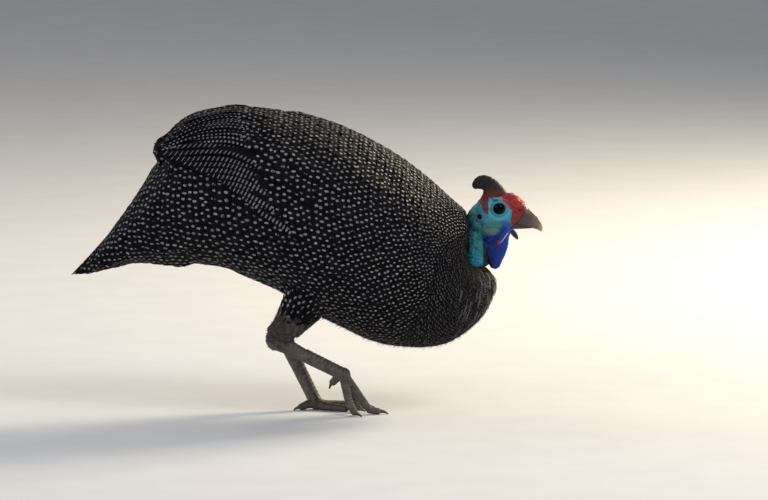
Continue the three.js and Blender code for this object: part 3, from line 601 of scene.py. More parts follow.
# A pale pink line along the upper edge of the brow is a painted highlight where light grazes the brow ridge.
brow_highlight = hill(x - brow_line - 1.3, 0.75) * soft(z, 195.5, 198) * (1 - soft(z, 205.5, 207))
paint_over(BROW_HIGHLIGHT_PINK, 0.6 * brow_highlight)

# %% [markdown]
# Last the dark openings and the wattles: the brown ear, whose deep hole is painted near black as shade;
# the small pit under it, painted with the ear's brown as shade; painted shade in the crease round the
# lids and their dark margin; and on each wattle a red tip and a pale painted highlight along one edge.
# The far wattle is painted darker as shade.

# %% Ear, lids and wattles
ear_edge = from_ear * (1 + 0.3 * bumps(head_points, 1.8, 44))
paint_over(EAR_BROWN_AND_PIT_SHADE, 1.3 * hill(ear_edge, 2.9) * on_side)
# The deepest part of the ear hole is painted near black as shade, inside the ear's own brown.
paint_over(SHADE_BLACK, 1.3 * hill(ear_edge, 1.3) * on_side)
from_pit = np.hypot((x - JAW_PIT_AT[0]) / 1.4, z - JAW_PIT_AT[1])
# The small pit under the ear is painted with the ear's brown as shade.
paint_over(EAR_BROWN_AND_PIT_SHADE, 0.6 * hill(from_pit, 1.3) * on_side)
# Painted shade: a thin darker ring in the groove round the eye.
paint_over(CREASE_SHADE_BLUE, 0.30 * hill(from_eye - 7.9, 0.4) * on_side)
paint_over(LID_DARK, 0.95 * soft(-from_eye, -6.0, -5.3) * on_side)
for side in WATTLES:
    reach, share, across, off = on_wattle(head_points, side)
    # A pale stripe along one edge of each wattle is a painted highlight.
    lit_edge = soft(np.abs(off), 1.2, 2.0) * (off * across[0] > 0)
    # The far wattle, on the bird's left, is painted darker blue than the near one as shade.
    paint_over(ULTRAMARINE if side < 0 else FAR_WATTLE_SHADE, share * 0.9)
    paint_over(WATTLE_HIGHLIGHT, 0.95 * share * lit_edge * soft(reach, 0.15, 0.3))
    red_from = 0.82 if side < 0 else 0.90
    paint_over(WATTLE_RED, share * soft(reach + 0.03 * ragged, red_from, red_from + 0.06))
print("head painted, mean colour", paint.mean(axis=0).round(3).tolist())

# %% [markdown]
# ## Bare legs
# Below the drumstick a guinea fowl's leg is covered in horny scales: a row of wide shields down the
# front of the shank and over each toe, and small round scales elsewhere. The shields are cut into a
# fine skin of the leg, as steps that follow the bone.

# %% Leg skin
LEG_JOINTS = {
    "right": ((-30.4, -32.0, 70.9), (33.7, -27.0, 38.3)),
    "left": ((-23.3, 27.0, 66.2), (7.6, 7.0, 6.4)),
}


def saw(distance, pitch):
    """A run of overlapping shields: each rises to its lower rim and drops in a groove."""
    t = (distance / pitch) % 1.0
    return 0.55 * t - 1.0 * hill(t, 0.12) - 1.0 * hill(1 - t, 0.10)


leg_skins, leg_surfaces = {}, {}
for side_name, (ankle, ball) in LEG_JOINTS.items():
    leg_nodes = [f"{part}_{side_name}" for part in ("thigh", "shank", "foot")]
    points, faces = welded(leg_nodes, 0.62, 3, swell=0.22)
    ankle, ball = np.array(ankle), np.array(ball)
    # The back of the drumstick runs down to the heel in one straight line.
    rearward = soft(-point_normals(points, faces)[:, 0], 0, 0.6)
    above = points[:, 2] - ankle[2]
    points[:, 0] -= rearward * (2.0 * hill(above - 11.5, 9) + 2.4 * hill(above - 10.4, 3.6))
    at_heel = hill(points[:, 2] - ankle[2] - 10, 7)[:, None]
    points += (smoothed(points, faces, 26) - points) * at_heel
    leg_surfaces[side_name] = BVHTree.FromPolygons(points.tolist(), triangles_of(faces).tolist())
    below = (points[faces][:, :, 2] < ankle[2] + 30).all(axis=1)
    kept = np.unique(faces[below])
    renumber = np.zeros(len(points), int)
    renumber[kept] = np.arange(len(kept))
    points, faces = points[kept], renumber[faces[below]]
    normals = point_normals(points, faces)
    bone = (ball - ankle) / np.linalg.norm(ball - ankle)
    reach = (points - ankle) @ bone
    front = np.array([bone[2], 0, -bone[0]])
    front *= np.sign(front[0]) or 1
    facing = normals @ front
    to_ball = np.linalg.norm(ball - ankle)
    bare_share = 1 - soft(points[:, 2], ankle[2] + 13, ankle[2] + 25) * (reach < 8)
    shank_share = soft(-reach, -to_ball + 4, -to_ball + 9) * bare_share
    shields = soft(facing, -0.05, 0.35) * shank_share
    flat = np.linalg.norm(points - ball, axis=1)
    toes = (1 - shank_share) * soft(normals[:, 2], -0.1, 0.4) * bare_share
    small = np.abs(bumps(points, 1.5, 31)) - 0.4
    rise = 0.42 * shields * saw(reach + 0.6 * bumps(points, 12, 30), 4.1)
    rise += 0.36 * toes * saw(flat, 3.0)
    rise += 0.22 * (1 - np.maximum(shields, toes)) * small * bare_share
    rise -= 2.4 * (1 - bare_share)
    keep_flat = soft(points[:, 2], 0.4, 1.4)
    leg_skins[side_name] = (points + normals * (rise * keep_flat)[:, None], faces, rise)
    print("leg skin", side_name, len(points), "points")

# %% [markdown]
# ## One skin for all the flesh
# The feathered part of the skin lies three millimetres inside the plumage, the depth of the coat.
# The bare head and legs run on into it, so no seam shows where feathers end. All of it becomes one
# mesh with a material for each kind of skin.

# %% Skin finishes
bare = Finish(
    "bare_head_skin", roughness=0.5, Subsurface_Weight=0.08, Subsurface_Scale=0.002, Specular_IOR_Level=0.3
)
bare.shader.inputs["Subsurface Radius"].default_value = (1.0, 0.35, 0.2)
painted = bare.stored("skin_paint")
freckled = bare.mix(bare.spread(bare.noise(1.1, 3.0), 0.0, 0.5), painted, (0.008, 0.025, 0.04))
pored = bare.bump(bare.cells(0.7), 0.12)
bare_skin = bare.finish(
    freckled,
    bare.bump(bare.noise(2.4, 4.0), 0.25, under=pored),
    bare.spread(bare.noise(3.0), 0.38, 0.62),
)

legs = Finish("leg_scales", roughness=0.6, Specular_IOR_Level=0.35)
# The painted shade of the leg skin, stored on its points, darkens the horn colour.
groove_shade = legs.stored("skin_paint")
horn_tone = legs.ramp(
    legs.noise(6.0, 4.0),
    [(0.30, (0.070, 0.055, 0.048)), (0.55, (0.135, 0.107, 0.092)), (0.8, (0.21, 0.165, 0.140))],
)
leg_scales = legs.finish(
    legs.mix(1.0, horn_tone, groove_shade, "MULTIPLY"),
    legs.bump(legs.noise(0.9, 3.0), 0.12),
    legs.spread(legs.noise(2.5), 0.42, 0.7),
)

down = Finish("down_skin", roughness=0.9)
dark_down = down.ramp(down.noise(3.0, 4.0), [(0.3, (0.006, 0.006, 0.008)), (0.7, (0.014, 0.014, 0.018))])
spot_share = down.ramp(down.cells(6.4), [(0.20, (1, 1, 1)), (0.27, (0, 0, 0))])
down_skin = down.finish(
    down.mix(spot_share, dark_down, (0.26, 0.25, 0.27)),
    down.bump(down.noise(0.8, 4.0, stretch=(0.3, 1, 1)), 0.6),
)

# %% [markdown]
# A mesh with a hundred thousand points is too slow to build face by face in Python. So one helper
# writes whole arrays of points and corners at once, and every piece of the bird is made with it.

# %% From arrays to a mesh
def mesh_object(name, points, faces, materials, face_slots=None):
    """A mesh in metres from points in millimetres, with faces as a list of index arrays."""
    mesh = bpy.data.meshes.new(name)
    mesh.vertices.add(len(points))
    mesh.vertices.foreach_set("co", (np.asarray(points) * MM).ravel().astype(np.float32))
    corners = np.concatenate([f.ravel() for f in faces])
    sizes = np.concatenate([np.full(len(f), f.shape[1]) for f in faces])
    mesh.loops.add(len(corners))
    mesh.loops.foreach_set("vertex_index", corners.astype(np.int32))
    mesh.polygons.add(len(sizes))
    mesh.polygons.foreach_set("loop_start", np.r_[0, np.cumsum(sizes)[:-1]].astype(np.int32))
    if face_slots is not None:
        mesh.polygons.foreach_set("material_index", np.asarray(face_slots, np.int32))
    mesh.polygons.foreach_set("use_smooth", np.ones(len(sizes), bool))
    mesh.update(calc_edges=True)
    mesh.validate()
    for material in materials:
        mesh.materials.append(material)
    obj = bpy.data.objects.new(name, mesh)
    bpy.context.collection.objects.link(obj)
    return obj


# %% [markdown]
# Plumage, head and legs run into one another and make one mesh. Each brings its own colours and
# its own finish: dark down, painted bare skin, and scales with painted shade, darker the deeper a
# point of the leg skin lies, as in the grooves between the shields.

# %% Skin mesh
COAT_DEPTH = 3.0
inner_points = plumage_points - plumage_normals * COAT_DEPTH
# Painted shade on the legs: each point is darkened by how far it is sunk, so grooves between scales and the
# covered skin above are darker and raised shields a little lighter.
leg_groove_shades = {k: np.clip(0.75 + 0.9 * s[2], 0.25, 1.1)[:, None] * np.ones(3) for k, s in leg_skins.items()}
skin_parts = [
    (inner_points, plumage_faces, np.ones((len(inner_points), 3)), 0),
    (head_points, head_faces, paint, 1),
    *[(leg_skins[k][0], leg_skins[k][1], leg_groove_shades[k], 2) for k in leg_skins],
]
starts = np.cumsum([0] + [len(p[0]) for p in skin_parts])
skin = mesh_object(
    "skin",
    np.vstack([p[0] for p in skin_parts]),
    [np.vstack([p[1] + start for p, start in zip(skin_parts, starts)])],
    [down_skin, bare_skin, leg_scales],
    np.concatenate([np.full(len(p[1]), p[3]) for p in skin_parts]),
)
skin_paint = skin.data.color_attributes.new("skin_paint", "FLOAT_COLOR", "POINT")
rgba = np.ones((starts[-1], 4), np.float32)
rgba[:, :3] = np.vstack([p[2] for p in skin_parts])
skin_paint.data.foreach_set("color", rgba.ravel())
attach(skin, "root")
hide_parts(*BODY_NODES, "head", "throat_fold", "wattle_left", "wattle_right")
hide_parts("shank_left", "shank_right", "foot_left", "foot_right")
print("skin", len(skin.data.polygons), "quads")

# %% [markdown]
# ## Casque, bill, eyes and claws
# Horn doesn't join the skin. The casque and the two halves of the bill are welded and smoothed from
# their own solids, then given growth ridges, and so are the claws. The eyes are glassy balls with a
# clear bulge over a dark iris.

# %% Horn finishes
casque_horn = Finish("casque_horn", roughness=0.5, Specular_IOR_Level=0.22)
up_the_casque = casque_horn.share_along("Z", 203, 219)
uneven = casque_horn.sums("ADD", up_the_casque, casque_horn.spread(casque_horn.noise(4.0, 3.0), -0.5, 0.42))
horn_colour = casque_horn.ramp(
    uneven,
    [
        (0.0, (0.16, 0.015, 0.017)),
        (0.36, (0.080, 0.020, 0.018)),
        (0.62, (0.030, 0.018, 0.016)),
        (1.0, (0.007, 0.008, 0.011)),
    ],
)
casque_finish = casque_horn.finish(
    horn_colour,
    casque_horn.bump(casque_horn.noise(1.6, 4.0, stretch=(1, 1, 0.25)), 0.35),
    casque_horn.spread(casque_horn.noise(2.0), 0.45, 0.75),
)

bill = Finish("bill_horn", roughness=0.38)
to_tip = bill.share_along("X", 198, 223)
bill_colour = bill.ramp(
    bill.sums("ADD", to_tip, bill.spread(bill.noise(4.0, 3.0), -0.12, 0.12)),
    [
        (0.0, (0.13, 0.026, 0.022)),
        (0.22, (0.042, 0.033, 0.040)),
        (0.55, (0.080, 0.060, 0.056)),
        (0.82, (0.18, 0.13, 0.090)),
        (1.0, (0.50, 0.39, 0.24)),
    ],
)
bill_finish = bill.finish(
    bill_colour,
    bill.bump(bill.noise(1.2, 3.0, stretch=(0.25, 1, 1)), 0.12),
    bill.spread(bill.noise(1.5), 0.28, 0.5),
)

under_bill = Finish("lower_bill_horn", roughness=0.45)
lower_bill_finish = under_bill.finish(
    under_bill.ramp(
        under_bill.noise(3.0, 3.0),
        [(0.3, (0.012, 0.007, 0.006)), (0.75, (0.034, 0.021, 0.018))],
    ),
    under_bill.bump(under_bill.noise(1.2, 3.0, stretch=(0.25, 1, 1)), 0.12),
)

claw = Finish("claw_horn", roughness=0.45)
claw_finish = claw.finish(
    claw.ramp(claw.noise(4.0, 3.0), [(0.3, (0.022, 0.018, 0.016)), (0.75, (0.10, 0.08, 0.065))]),
    claw.bump(claw.noise(0.8, 3.0, stretch=(0.2, 1, 1)), 0.1),
    claw.spread(claw.noise(1.2), 0.35, 0.6),
)

# %% [markdown]
# Each horn piece is welded from its own solid on a finer grid. Growth ridges run across it as a
# sine wave, deeper on the casque than on the smooth bill. The upper bill gets its nostril, and the
# lower one is tucked inside it, for the mouth is shut.

# %% Casque, bill and claws
NOSTRIL_AT = (203.6, 189.6)
HORN = {
    "casque_horn": ("casque", "casque_horn", casque_finish, 0.5, 0.10),
    "upper_bill": ("bill_upper", "bill_horn", bill_finish, 0.45, 0.04),
    "lower_bill": ("bill_lower", "bill_horn", lower_bill_finish, 0.45, 0.04),
}
for name in nodes:
    if name.startswith("claw_"):
        HORN[f"horn_{name}"] = (name, "claw_horn", claw_finish, 0.26, 0.02)
for piece_name, (node_name, slot_name, finish, voxel, ridge) in HORN.items():
    points, faces = welded([node_name], voxel, 3, swell=0.12)
    normals = point_normals(points, faces)
    growth = np.sin(points @ np.array([0.9, 0.0, 0.45]) * 2 * math.pi / 1.9)
    rise = ridge * (growth + bumps(points, 2.2, 41))
    if piece_name == "upper_bill":
        nostril = np.hypot((points[:, 0] - NOSTRIL_AT[0]) / 2.6, (points[:, 2] - NOSTRIL_AT[1]) / 1.1)
        rise = rise - 0.8 * hill(nostril, 0.8)
    points = points + normals * rise[:, None]
    if piece_name == "lower_bill":
        points[:, 2] += 2.5 * soft(points[:, 0], 190, 196)
        points[:, 1] *= 0.84
    horn = mesh_object(piece_name, points, [faces], [finish])
    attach(horn, "root")
    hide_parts(node_name)
print("horn pieces", len(HORN))

# %% [markdown]
# An eye is a ball with a slight bulge of the cornea in front. Pupil, iris and the dark rim are
# rings of colour at growing angles from the line of sight, under a clear wet gloss.

# %% Eyes
eye_look = Finish("wet_eye", roughness=0.05, Specular_IOR_Level=0.06)
flecks = eye_look.ramp(
    eye_look.noise(0.7, 3.0), [(0.3, (0.0006, 0.0004, 0.0004)), (0.7, (0.004, 0.002, 0.001))]
)
eye_finish = eye_look.finish(eye_look.mix(0.35, eye_look.stored("iris_paint"), flecks))
PUPIL, IRIS, WHOLE_BALL = 0.36, 0.66, 4.0
IRIS_RINGS = [
    ((0.0005, 0.0005, 0.0006), PUPIL),
    ((0.004, 0.002, 0.0015), IRIS),
    ((0.0015, 0.0012, 0.0015), WHOLE_BALL),
]
for side_name, side in (("left", 1), ("right", -1)):
    centre = EYE_AT * [1, side, 1] + [0, side * 0.35, 0]
    look = np.array([0.12, side, 0.04])
    look /= np.linalg.norm(look)
    ball = bmesh.new()
    bmesh.ops.create_icosphere(ball, subdivisions=5, radius=1.0)
    rays = np.array([tuple(v.co) for v in ball.verts])
    faces = np.array([[v.index for v in f.verts] for f in ball.faces])
    ball.free()
    off_axis = np.arccos(np.clip(rays @ look, -1, 1))
    points = centre + rays * (EYE_RADIUS - 0.12 + 0.55 * hill(off_axis, 0.55))[:, None]
    eye = mesh_object(f"eye_ball_{side_name}", points, [faces], [eye_finish])
    tints = np.ones((len(points), 4), np.float32)
    for tint, limit in reversed(IRIS_RINGS):
        tints[off_axis < limit, :3] = tint
    iris_paint = eye.data.color_attributes.new("iris_paint", "FLOAT_COLOR", "POINT")
    iris_paint.data.foreach_set("color", tints.ravel())
    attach(eye, "root")
    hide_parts(f"eye_{side_name}")
print("eyes", 2 * EYE_RADIUS, "mm across")

# %% [markdown]
# ## How a feather is made
# A contour feather is a thin vane on a shaft: narrow and downy at its root, widest past the middle
# and rounded at the tip, crowned across, with a few loose barbs at its edge. Each one here is a
# closed mesh: an upper grid that carries the form, and a flatter underside. All feathers of one part
# of the body are gathered into one mesh. A feather also gets a small patch of its own on a map of
# the unrolled body, at the place where it is rooted, so that its colours can be stored in an image.

# %% Patches on the map of the body
PATCH = 0.003
BODY_REAR, BODY_LONG = -228, 424
BODY_AXIS = [(-220, 130), (-60, 205), (60, 160), (175, 130)]
used_patches = set()


def bake_patch(root):
    """The free patch nearest to a root's place on the body unrolled: along it and round it."""
    centre_z = np.interp(root[0], *np.array(BODY_AXIS).T)
    turn = math.atan2(root[1], root[2] - centre_z) / (2 * math.pi) + 0.5
    cells = int(1 / PATCH) - 2
    home = (int((root[0] - BODY_REAR) / BODY_LONG * cells), int(turn * cells))
    for ring in range(cells):
        edge = range(-ring, ring + 1)
        for i in edge:
            for j in edge if abs(i) == ring else (-ring, ring):
                cell = (min(max(home[0] + i, 1), cells), min(max(home[1] + j, 1), cells))
                if cell not in used_patches:
                    used_patches.add(cell)
                    return np.array(cell) * PATCH


# %% [markdown]
# A coat gathers points, faces, finishes and maps feather by feather, and builds its mesh once at the
# end, when every feather and spot is in it. The tone is one number for each feather or spot, which
# its finish turns into a lighter or darker shade.

# %% Coat collector
class Coat:
    """Gathers feathers into one mesh, with the maps and tones that its finishes read."""

    def __init__(self, name):
        self.name = name
        self.points, self.faces, self.slots = [], [], []
        self.map, self.bake, self.tone = [], [], []
        self.count = 0
        self.feathers = 0

    def add(self, points, faces, slot, uv, bake, tone):
        self.points.append(points)
        for f in faces:
            self.faces.append(f + self.count)
            self.slots.append(np.full(len(f), slot))
        self.map.append(uv)
        self.bake.append(bake)
        self.tone.append(np.full(len(points), tone))
        self.count += len(points)

    def build(self, materials, slot_name):
        triangles = [f if f.shape[1] == 3 else triangles_of(f) for f in self.faces]
        slots = [np.tile(s, len(t) // len(s)) for s, t in zip(self.slots, triangles)]
        coat = mesh_object(
            self.name, np.vstack(self.points), [np.vstack(triangles)], materials, np.concatenate(slots)
        )
        mesh = coat.data
        corner = np.zeros(len(mesh.loops), np.int32)
        mesh.loops.foreach_get("vertex_index", corner)
        for layer_name, places in (("UVMap", self.map), ("OFBake", self.bake)):
            layer = mesh.uv_layers.new(name=layer_name)
            layer.data.foreach_set("uv", np.vstack(places)[corner].ravel().astype(np.float32))
        mesh.uv_layers.active = mesh.uv_layers["UVMap"]
        mesh.uv_layers["UVMap"].active_render = True
        tones = mesh.attributes.new("tone", "FLOAT", "POINT")
        tones.data.foreach_set("value", np.concatenate(self.tone).astype(np.float32))
        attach(coat, "root")
        print(self.name, self.feathers, "feathers", len(mesh.polygons), "triangles")
        return coat


# %% [markdown]
# The vane's upper grid has five points across the shaft and as many rows as it has stations along
# it. The path gives the shaft, the normals say which way is up, and the lifts raise the tip off the
# body or sink the root into it. Where a surface is given, each point of the width is dropped onto
# it, so that a wide vane hugs a narrow form.

# %% Shape of a vane
ACROSS = np.array([-1.0, -0.55, 0.0, 0.55, 1.0])
CONTOUR_STATIONS = np.array([0.0, 0.18, 0.38, 0.58, 0.76, 0.90, 0.975])


def contour_width(t):
    """Share of the full half width at a share t of the length."""
    return np.clip(0.42 + 1.5 * t, 0, 1) * np.sqrt(np.clip(1 - soft(t, 0.55, 1.03) ** 2, 0, 1))


class Vane:
    def __init__(self, path, ups, half, lifts, crown, stations, width=contour_width, tilt=0.0, surface=None):
        """path and ups are points and normals at the stations, lifts the shaft's height there."""
        self.t = stations
        self.half = half * width(stations)
        ahead = np.gradient(path, axis=0)
        ahead /= np.maximum(np.linalg.norm(ahead, axis=1, keepdims=True), 1e-9)
        self.side = np.cross(ups, ahead)
        self.side /= np.maximum(np.linalg.norm(self.side, axis=1, keepdims=True), 1e-9)
        self.up = np.cross(ahead, self.side)
        self.length = np.linalg.norm(np.diff(path, axis=0), axis=1).sum()
        spread = self.half[:, None] * ACROSS
        height = lifts[:, None] - crown * ACROSS**2 * (self.half / half)[:, None] ** 2 + tilt * ACROSS
        base = path[:, None] + spread[..., None] * self.side[:, None]
        rise = height[..., None] * self.up[:, None]
        if surface is not None:
            # The whole width of the vane hugs the body.
            found = [surface.find_nearest(Vector(p)) for p in base.reshape(-1, 3)]
            base = np.array([tuple(f[0]) for f in found]).reshape(base.shape)
            rise = height[..., None] * np.array([tuple(f[1]) for f in found]).reshape(base.shape)
        self.grid = base + rise
        self.tip = self.grid[-1, len(ACROSS) // 2] + ahead[-1] * half * 0.16
        self.path = path

    def on(self, across, along, lift):
        """Points on the vane from mm across the shaft and a share of its length."""
        along = np.clip(along, self.t[0], self.t[-1] - 1e-6)
        i = np.clip(np.searchsorted(self.t, along, side="right") - 1, 0, len(self.t) - 2)
        share = (along - self.t[i]) / (self.t[i + 1] - self.t[i])
        half = self.half[i] * (1 - share) + self.half[i + 1] * share
        w = np.clip(across / np.maximum(half, 1e-6), -0.93, 0.93)
        j = np.clip(np.searchsorted(ACROSS, w, side="right") - 1, 0, len(ACROSS) - 2)
        part = ((w - ACROSS[j]) / (ACROSS[j + 1] - ACROSS[j]))[:, None]
        share = share[:, None]
        near = self.grid[i, j] * (1 - part) + self.grid[i, j + 1] * part
        far = self.grid[i + 1, j] * (1 - part) + self.grid[i + 1, j + 1] * part
        return near * (1 - share) + far * share + self.up[i] * lift


# %% [markdown]
# Under the grid runs one keel, a quarter of a millimetre deeper, which closes the vane to a thin
# solid wedge. All vanes with as many rows share one list of faces.

# %% Closing a vane
def vane_faces(rows):
    """Faces of a closed vane: upper grid, underside and both ends."""
    n = len(ACROSS)
    upper = np.arange(rows * n).reshape(rows, n)
    tip = rows * n
    keel = tip + 1 + np.arange(rows)
    quads, tris = [], []
    for i in range(rows - 1):
        for j in range(n - 1):
            quads.append((upper[i, j], upper[i + 1, j], upper[i + 1, j + 1], upper[i, j + 1]))
        quads.append((upper[i, 0], keel[i], keel[i + 1], upper[i + 1, 0]))
        quads.append((keel[i], upper[i, -1], upper[i + 1, -1], keel[i + 1]))
    for j in range(n - 1):
        tris.append((upper[-1, j], tip, upper[-1, j + 1]))
        tris.append((upper[0, j], upper[0, j + 1], keel[0]))
    tris.append((upper[-1, 0], keel[-1], tip))
    tris.append((keel[-1], upper[-1, -1], tip))
    return [np.array(quads), np.array(tris)]


FACES_FOR = {}
VANE_THICKNESS = 0.28


def add_vane(coat, vane, tone, slot=0):
    """Puts a vane in the coat and returns the corner of its patch on the bake map."""
    rows = len(vane.t)
    if rows not in FACES_FOR:
        FACES_FOR[rows] = vane_faces(rows)
    keel = vane.grid[:, len(ACROSS) // 2] - vane.up * VANE_THICKNESS
    points = np.vstack([vane.grid.reshape(-1, 3), vane.tip[None], keel])
    u = np.tile(ACROSS, rows) * 0.5 + 0.5
    v = np.repeat(vane.t, len(ACROSS))
    uv = np.vstack([np.c_[u, v], [[0.5, 1.0]], np.c_[np.full(rows, 0.5), vane.t]])
    corner = bake_patch(vane.path[0])
    coat.add(points, FACES_FOR[rows], slot, uv, corner + uv * [0.6 * PATCH, 0.95 * PATCH], tone)
    coat.feathers += 1
    return corner


# %% [markdown]
# A worn rim has loose barbs. Each is one thin triangle that starts on the vane's edge in its outer
# half and points forward and out, standing off the body by a share of its reach.

# %% Loose barbs
BARB = np.array([(0, 1, 2)])


def add_barbs(coat, vane, corner, count, reach, tone, slot=0, stand=-0.05):
    """Adds loose barbs along the rim of a vane."""
    rows = len(vane.t)
    for _ in range(count):
        i = rng.integers(rows // 2, rows - 1)
        edge = rng.choice([0, len(ACROSS) - 1])
        share = rng.uniform(0, 1)
        base = vane.grid[i, edge] * (1 - share) + vane.grid[i + 1, edge] * share
        ahead = vane.grid[i + 1, edge] - vane.grid[i, edge]
        ahead /= max(np.linalg.norm(ahead), 1e-6)
        out = vane.side[i] * (1 if edge else -1)
        inward = base - out * 0.8
        tip = base + (ahead * rng.uniform(0.7, 1.3) + out * rng.uniform(0.1, 0.5)) * reach
        points = np.array([inward, base + ahead * 0.35, tip + vane.up[i] * stand * rng.uniform(0, 1) * reach])
        uv = np.array([(0.4, 0.9), (0.6, 0.9), (0.5, 1.0)])
        coat.add(points, [BARB], slot, uv, corner + uv * [0.6 * PATCH, 0.95 * PATCH], tone)


# %% [markdown]
# ## Feather finishes
# The vane is slate black with a faint violet sheen. Its barbs run forward and out from the shaft, so
# a fine wave across the feather's own map gives the bump. The spots are soft lilac grey of the same
# texture. The leg's feathers are plain grey-brown.

# %% Feather finishes
def feather_finish(name, stops, roughness, sheen):
    vane = Finish(name, roughness=roughness, Sheen_Weight=sheen, Sheen_Roughness=0.4, Specular_IOR_Level=0.07)
    own_map = vane.node("ShaderNodeUVMap", uv_map="UVMap").outputs["UV"]
    apart = vane.node("ShaderNodeSeparateXYZ")
    vane.join(own_map, apart.inputs[0])
    off_shaft = vane.sums("ABSOLUTE", vane.sums("SUBTRACT", apart.outputs["X"], 0.5))
    along_vane = vane.sums("MULTIPLY", apart.outputs["Y"], 150.0)
    barbs = vane.sums("SINE", vane.sums("SUBTRACT", along_vane, vane.sums("MULTIPLY", off_shaft, 90.0)))
    shaft = vane.sums("LESS_THAN", off_shaft, 0.012)
    height = vane.sums("ADD", vane.sums("MULTIPLY", barbs, 0.5), vane.sums("MULTIPLY", shaft, 1.5))
    tone = vane.node("ShaderNodeAttribute", attribute_name="tone").outputs["Fac"]
    blotches = vane.sums("MULTIPLY", vane.noise(5.0, 3.0), 0.5)
    shade = vane.sums("ADD", vane.sums("MULTIPLY", tone, 0.5), blotches)
    return vane.finish(
        vane.ramp(shade, stops),
        vane.bump(height, 0.08),
        vane.spread(vane.noise(3.0), roughness - 0.08, roughness + 0.12),
    )


slate_vane = feather_finish(
    "slate_vane",
    [(0.2, (0.0020, 0.0020, 0.0030)), (0.5, (0.0034, 0.0034, 0.0050)), (0.85, (0.0066, 0.0063, 0.0084))],
    0.66,
    0.012,
)
# The last, palest and warmest stop of the spots is painted sunlight: only the raised tones of the spots on
# the mantle and the front of the breast reach it.
white_spot = feather_finish(
    "white_spot",
    [
        (0.15, (0.13, 0.126, 0.145)),
        (0.5, (0.225, 0.216, 0.236)),
        (0.8, (0.34, 0.327, 0.335)),
        (1.0, (0.52, 0.49, 0.45)),
    ],
    0.7,
    0.05,
)
dim_streak = feather_finish(
    "dim_streak",
    [(0.15, (0.040, 0.040, 0.048)), (0.5, (0.085, 0.082, 0.094)), (0.85, (0.17, 0.163, 0.172))],
    0.7,
    0.05,
)
brown_vane = feather_finish(
    "brown_vane",
    [(0.2, (0.042, 0.034, 0.031)), (0.5, (0.080, 0.064, 0.057)), (0.85, (0.135, 0.108, 0.095))],
    0.72,
    0.12,
)
FEATHER_FINISHES = [slate_vane, white_spot, dim_streak, brown_vane]
SLATE, WHITE, STREAK, BROWN = range(4)

# %% [markdown]
# ## Markings that lie on the feathers
# A spot on a guinea fowl is part of a feather, yet the spots of neighbouring feathers line up into
# one even net over the whole bird. So each spot is placed by that net, dropped onto whichever
# feather lies on top there, and laid flat on it. A feather lying higher cuts the spot off, as it
# does in life. A painted texture could do this too, but a mesh spot keeps its edge at any distance.

# %% Dropping markings
TOP_SIDE = {"points": [], "faces": [], "count": 0}
SPOT_LIFT = 0.10


def note_top(vane):
    """Remembers a vane's upper grid, on which markings may be dropped."""
    rows, n = vane.grid.shape[:2]
    index = np.arange(rows * n).reshape(rows, n) + TOP_SIDE["count"]
    quads = np.stack([index[:-1, :-1], index[1:, :-1], index[1:, 1:], index[:-1, 1:]], -1).reshape(-1, 4)
    TOP_SIDE["points"].append(vane.grid.reshape(-1, 3))
    TOP_SIDE["faces"].append(triangles_of(quads))
    TOP_SIDE["count"] += rows * n


def top_tree():
    return BVHTree.FromPolygons(np.vstack(TOP_SIDE["points"]).tolist(), np.vstack(TOP_SIDE["faces"]).tolist())


def drop(tree, place, normal, reach=9.0):
    """The topmost vane over a place, as a point and the outward normal of its face."""
    hit, face_normal, _, _ = tree.ray_cast(Vector(place + normal * reach), Vector(-normal), 2 * reach)
    if hit is None:
        return None, None
    face_normal = np.array(face_normal)
    face_normal *= np.sign(face_normal @ normal) or 1
    if face_normal @ normal < 0.55:
        face_normal = normal
    return np.array(hit), face_normal


def fan_of(n):
    """The faces of a flat marking with n corners round a middle point, and their places on its map."""
    fan = np.array([(0, k + 1, (k + 1) % n + 1) for k in range(n)])
    turn = np.arange(n) * 2 * math.pi / n
    return fan, np.vstack([[0.5, 0.5], np.c_[0.5 + 0.45 * np.cos(turn), 0.5 + 0.45 * np.sin(turn)]])


def lay(coat, tree, place, normal, outline, slot, tone):
    """Lays a flat marking on the topmost vane. The outline is in 3-D round the place, in order."""
    hit, up = drop(tree, place, normal)
    if hit is None:
        return False
    ring = place + outline
    height = ((hit - ring) @ up) / (normal @ up)
    for k, corner in enumerate(ring):
        over = tree.ray_cast(Vector(corner + normal * 9.0), Vector(-normal), 18)[0]
        if over is not None:
            height[k] = np.clip((np.array(over) - corner) @ normal, height[k], height[k] + 1.2)
    points = np.vstack([hit + normal * 0.05, ring + height[:, None] * normal]) + up * SPOT_LIFT
    fan, uv = fan_of(len(outline))
    coat.add(points, [fan], slot, uv, bake_patch(hit) + uv * 0.95 * PATCH, tone)
    return True


def oval(along, across, half_long, half_wide, sides=8):
    """The outline of a slightly uneven oval spot."""
    turn = np.arange(sides) * 2 * math.pi / sides + rng.uniform(0, 0.8)
    uneven = 1 + rng.uniform(-0.09, 0.09, sides)
    long_way = along * (half_long * np.cos(turn) * uneven)[:, None]
    return long_way + across * (half_wide * np.sin(turn) * uneven)[:, None]


# %% [markdown]
# ## Rows of body feathers
# Feathers grow in rows that ring the base of the neck and run back over the body, each row shifted
# by half a feather against the last. The net of spots is laid in the same way, but closer. Both are
# small at the neck, widen to the flank and are finer again on the back and the tail. So the rows are
# counted outwards over the surface: a count that grows by one for each row's width walked, solved
# over the plumage mesh as the time in which a wave from the neck would reach each point.

# %% Spacing of feathers and spots
NECK_BASE = np.array([154.0, 0.0, 143.0])
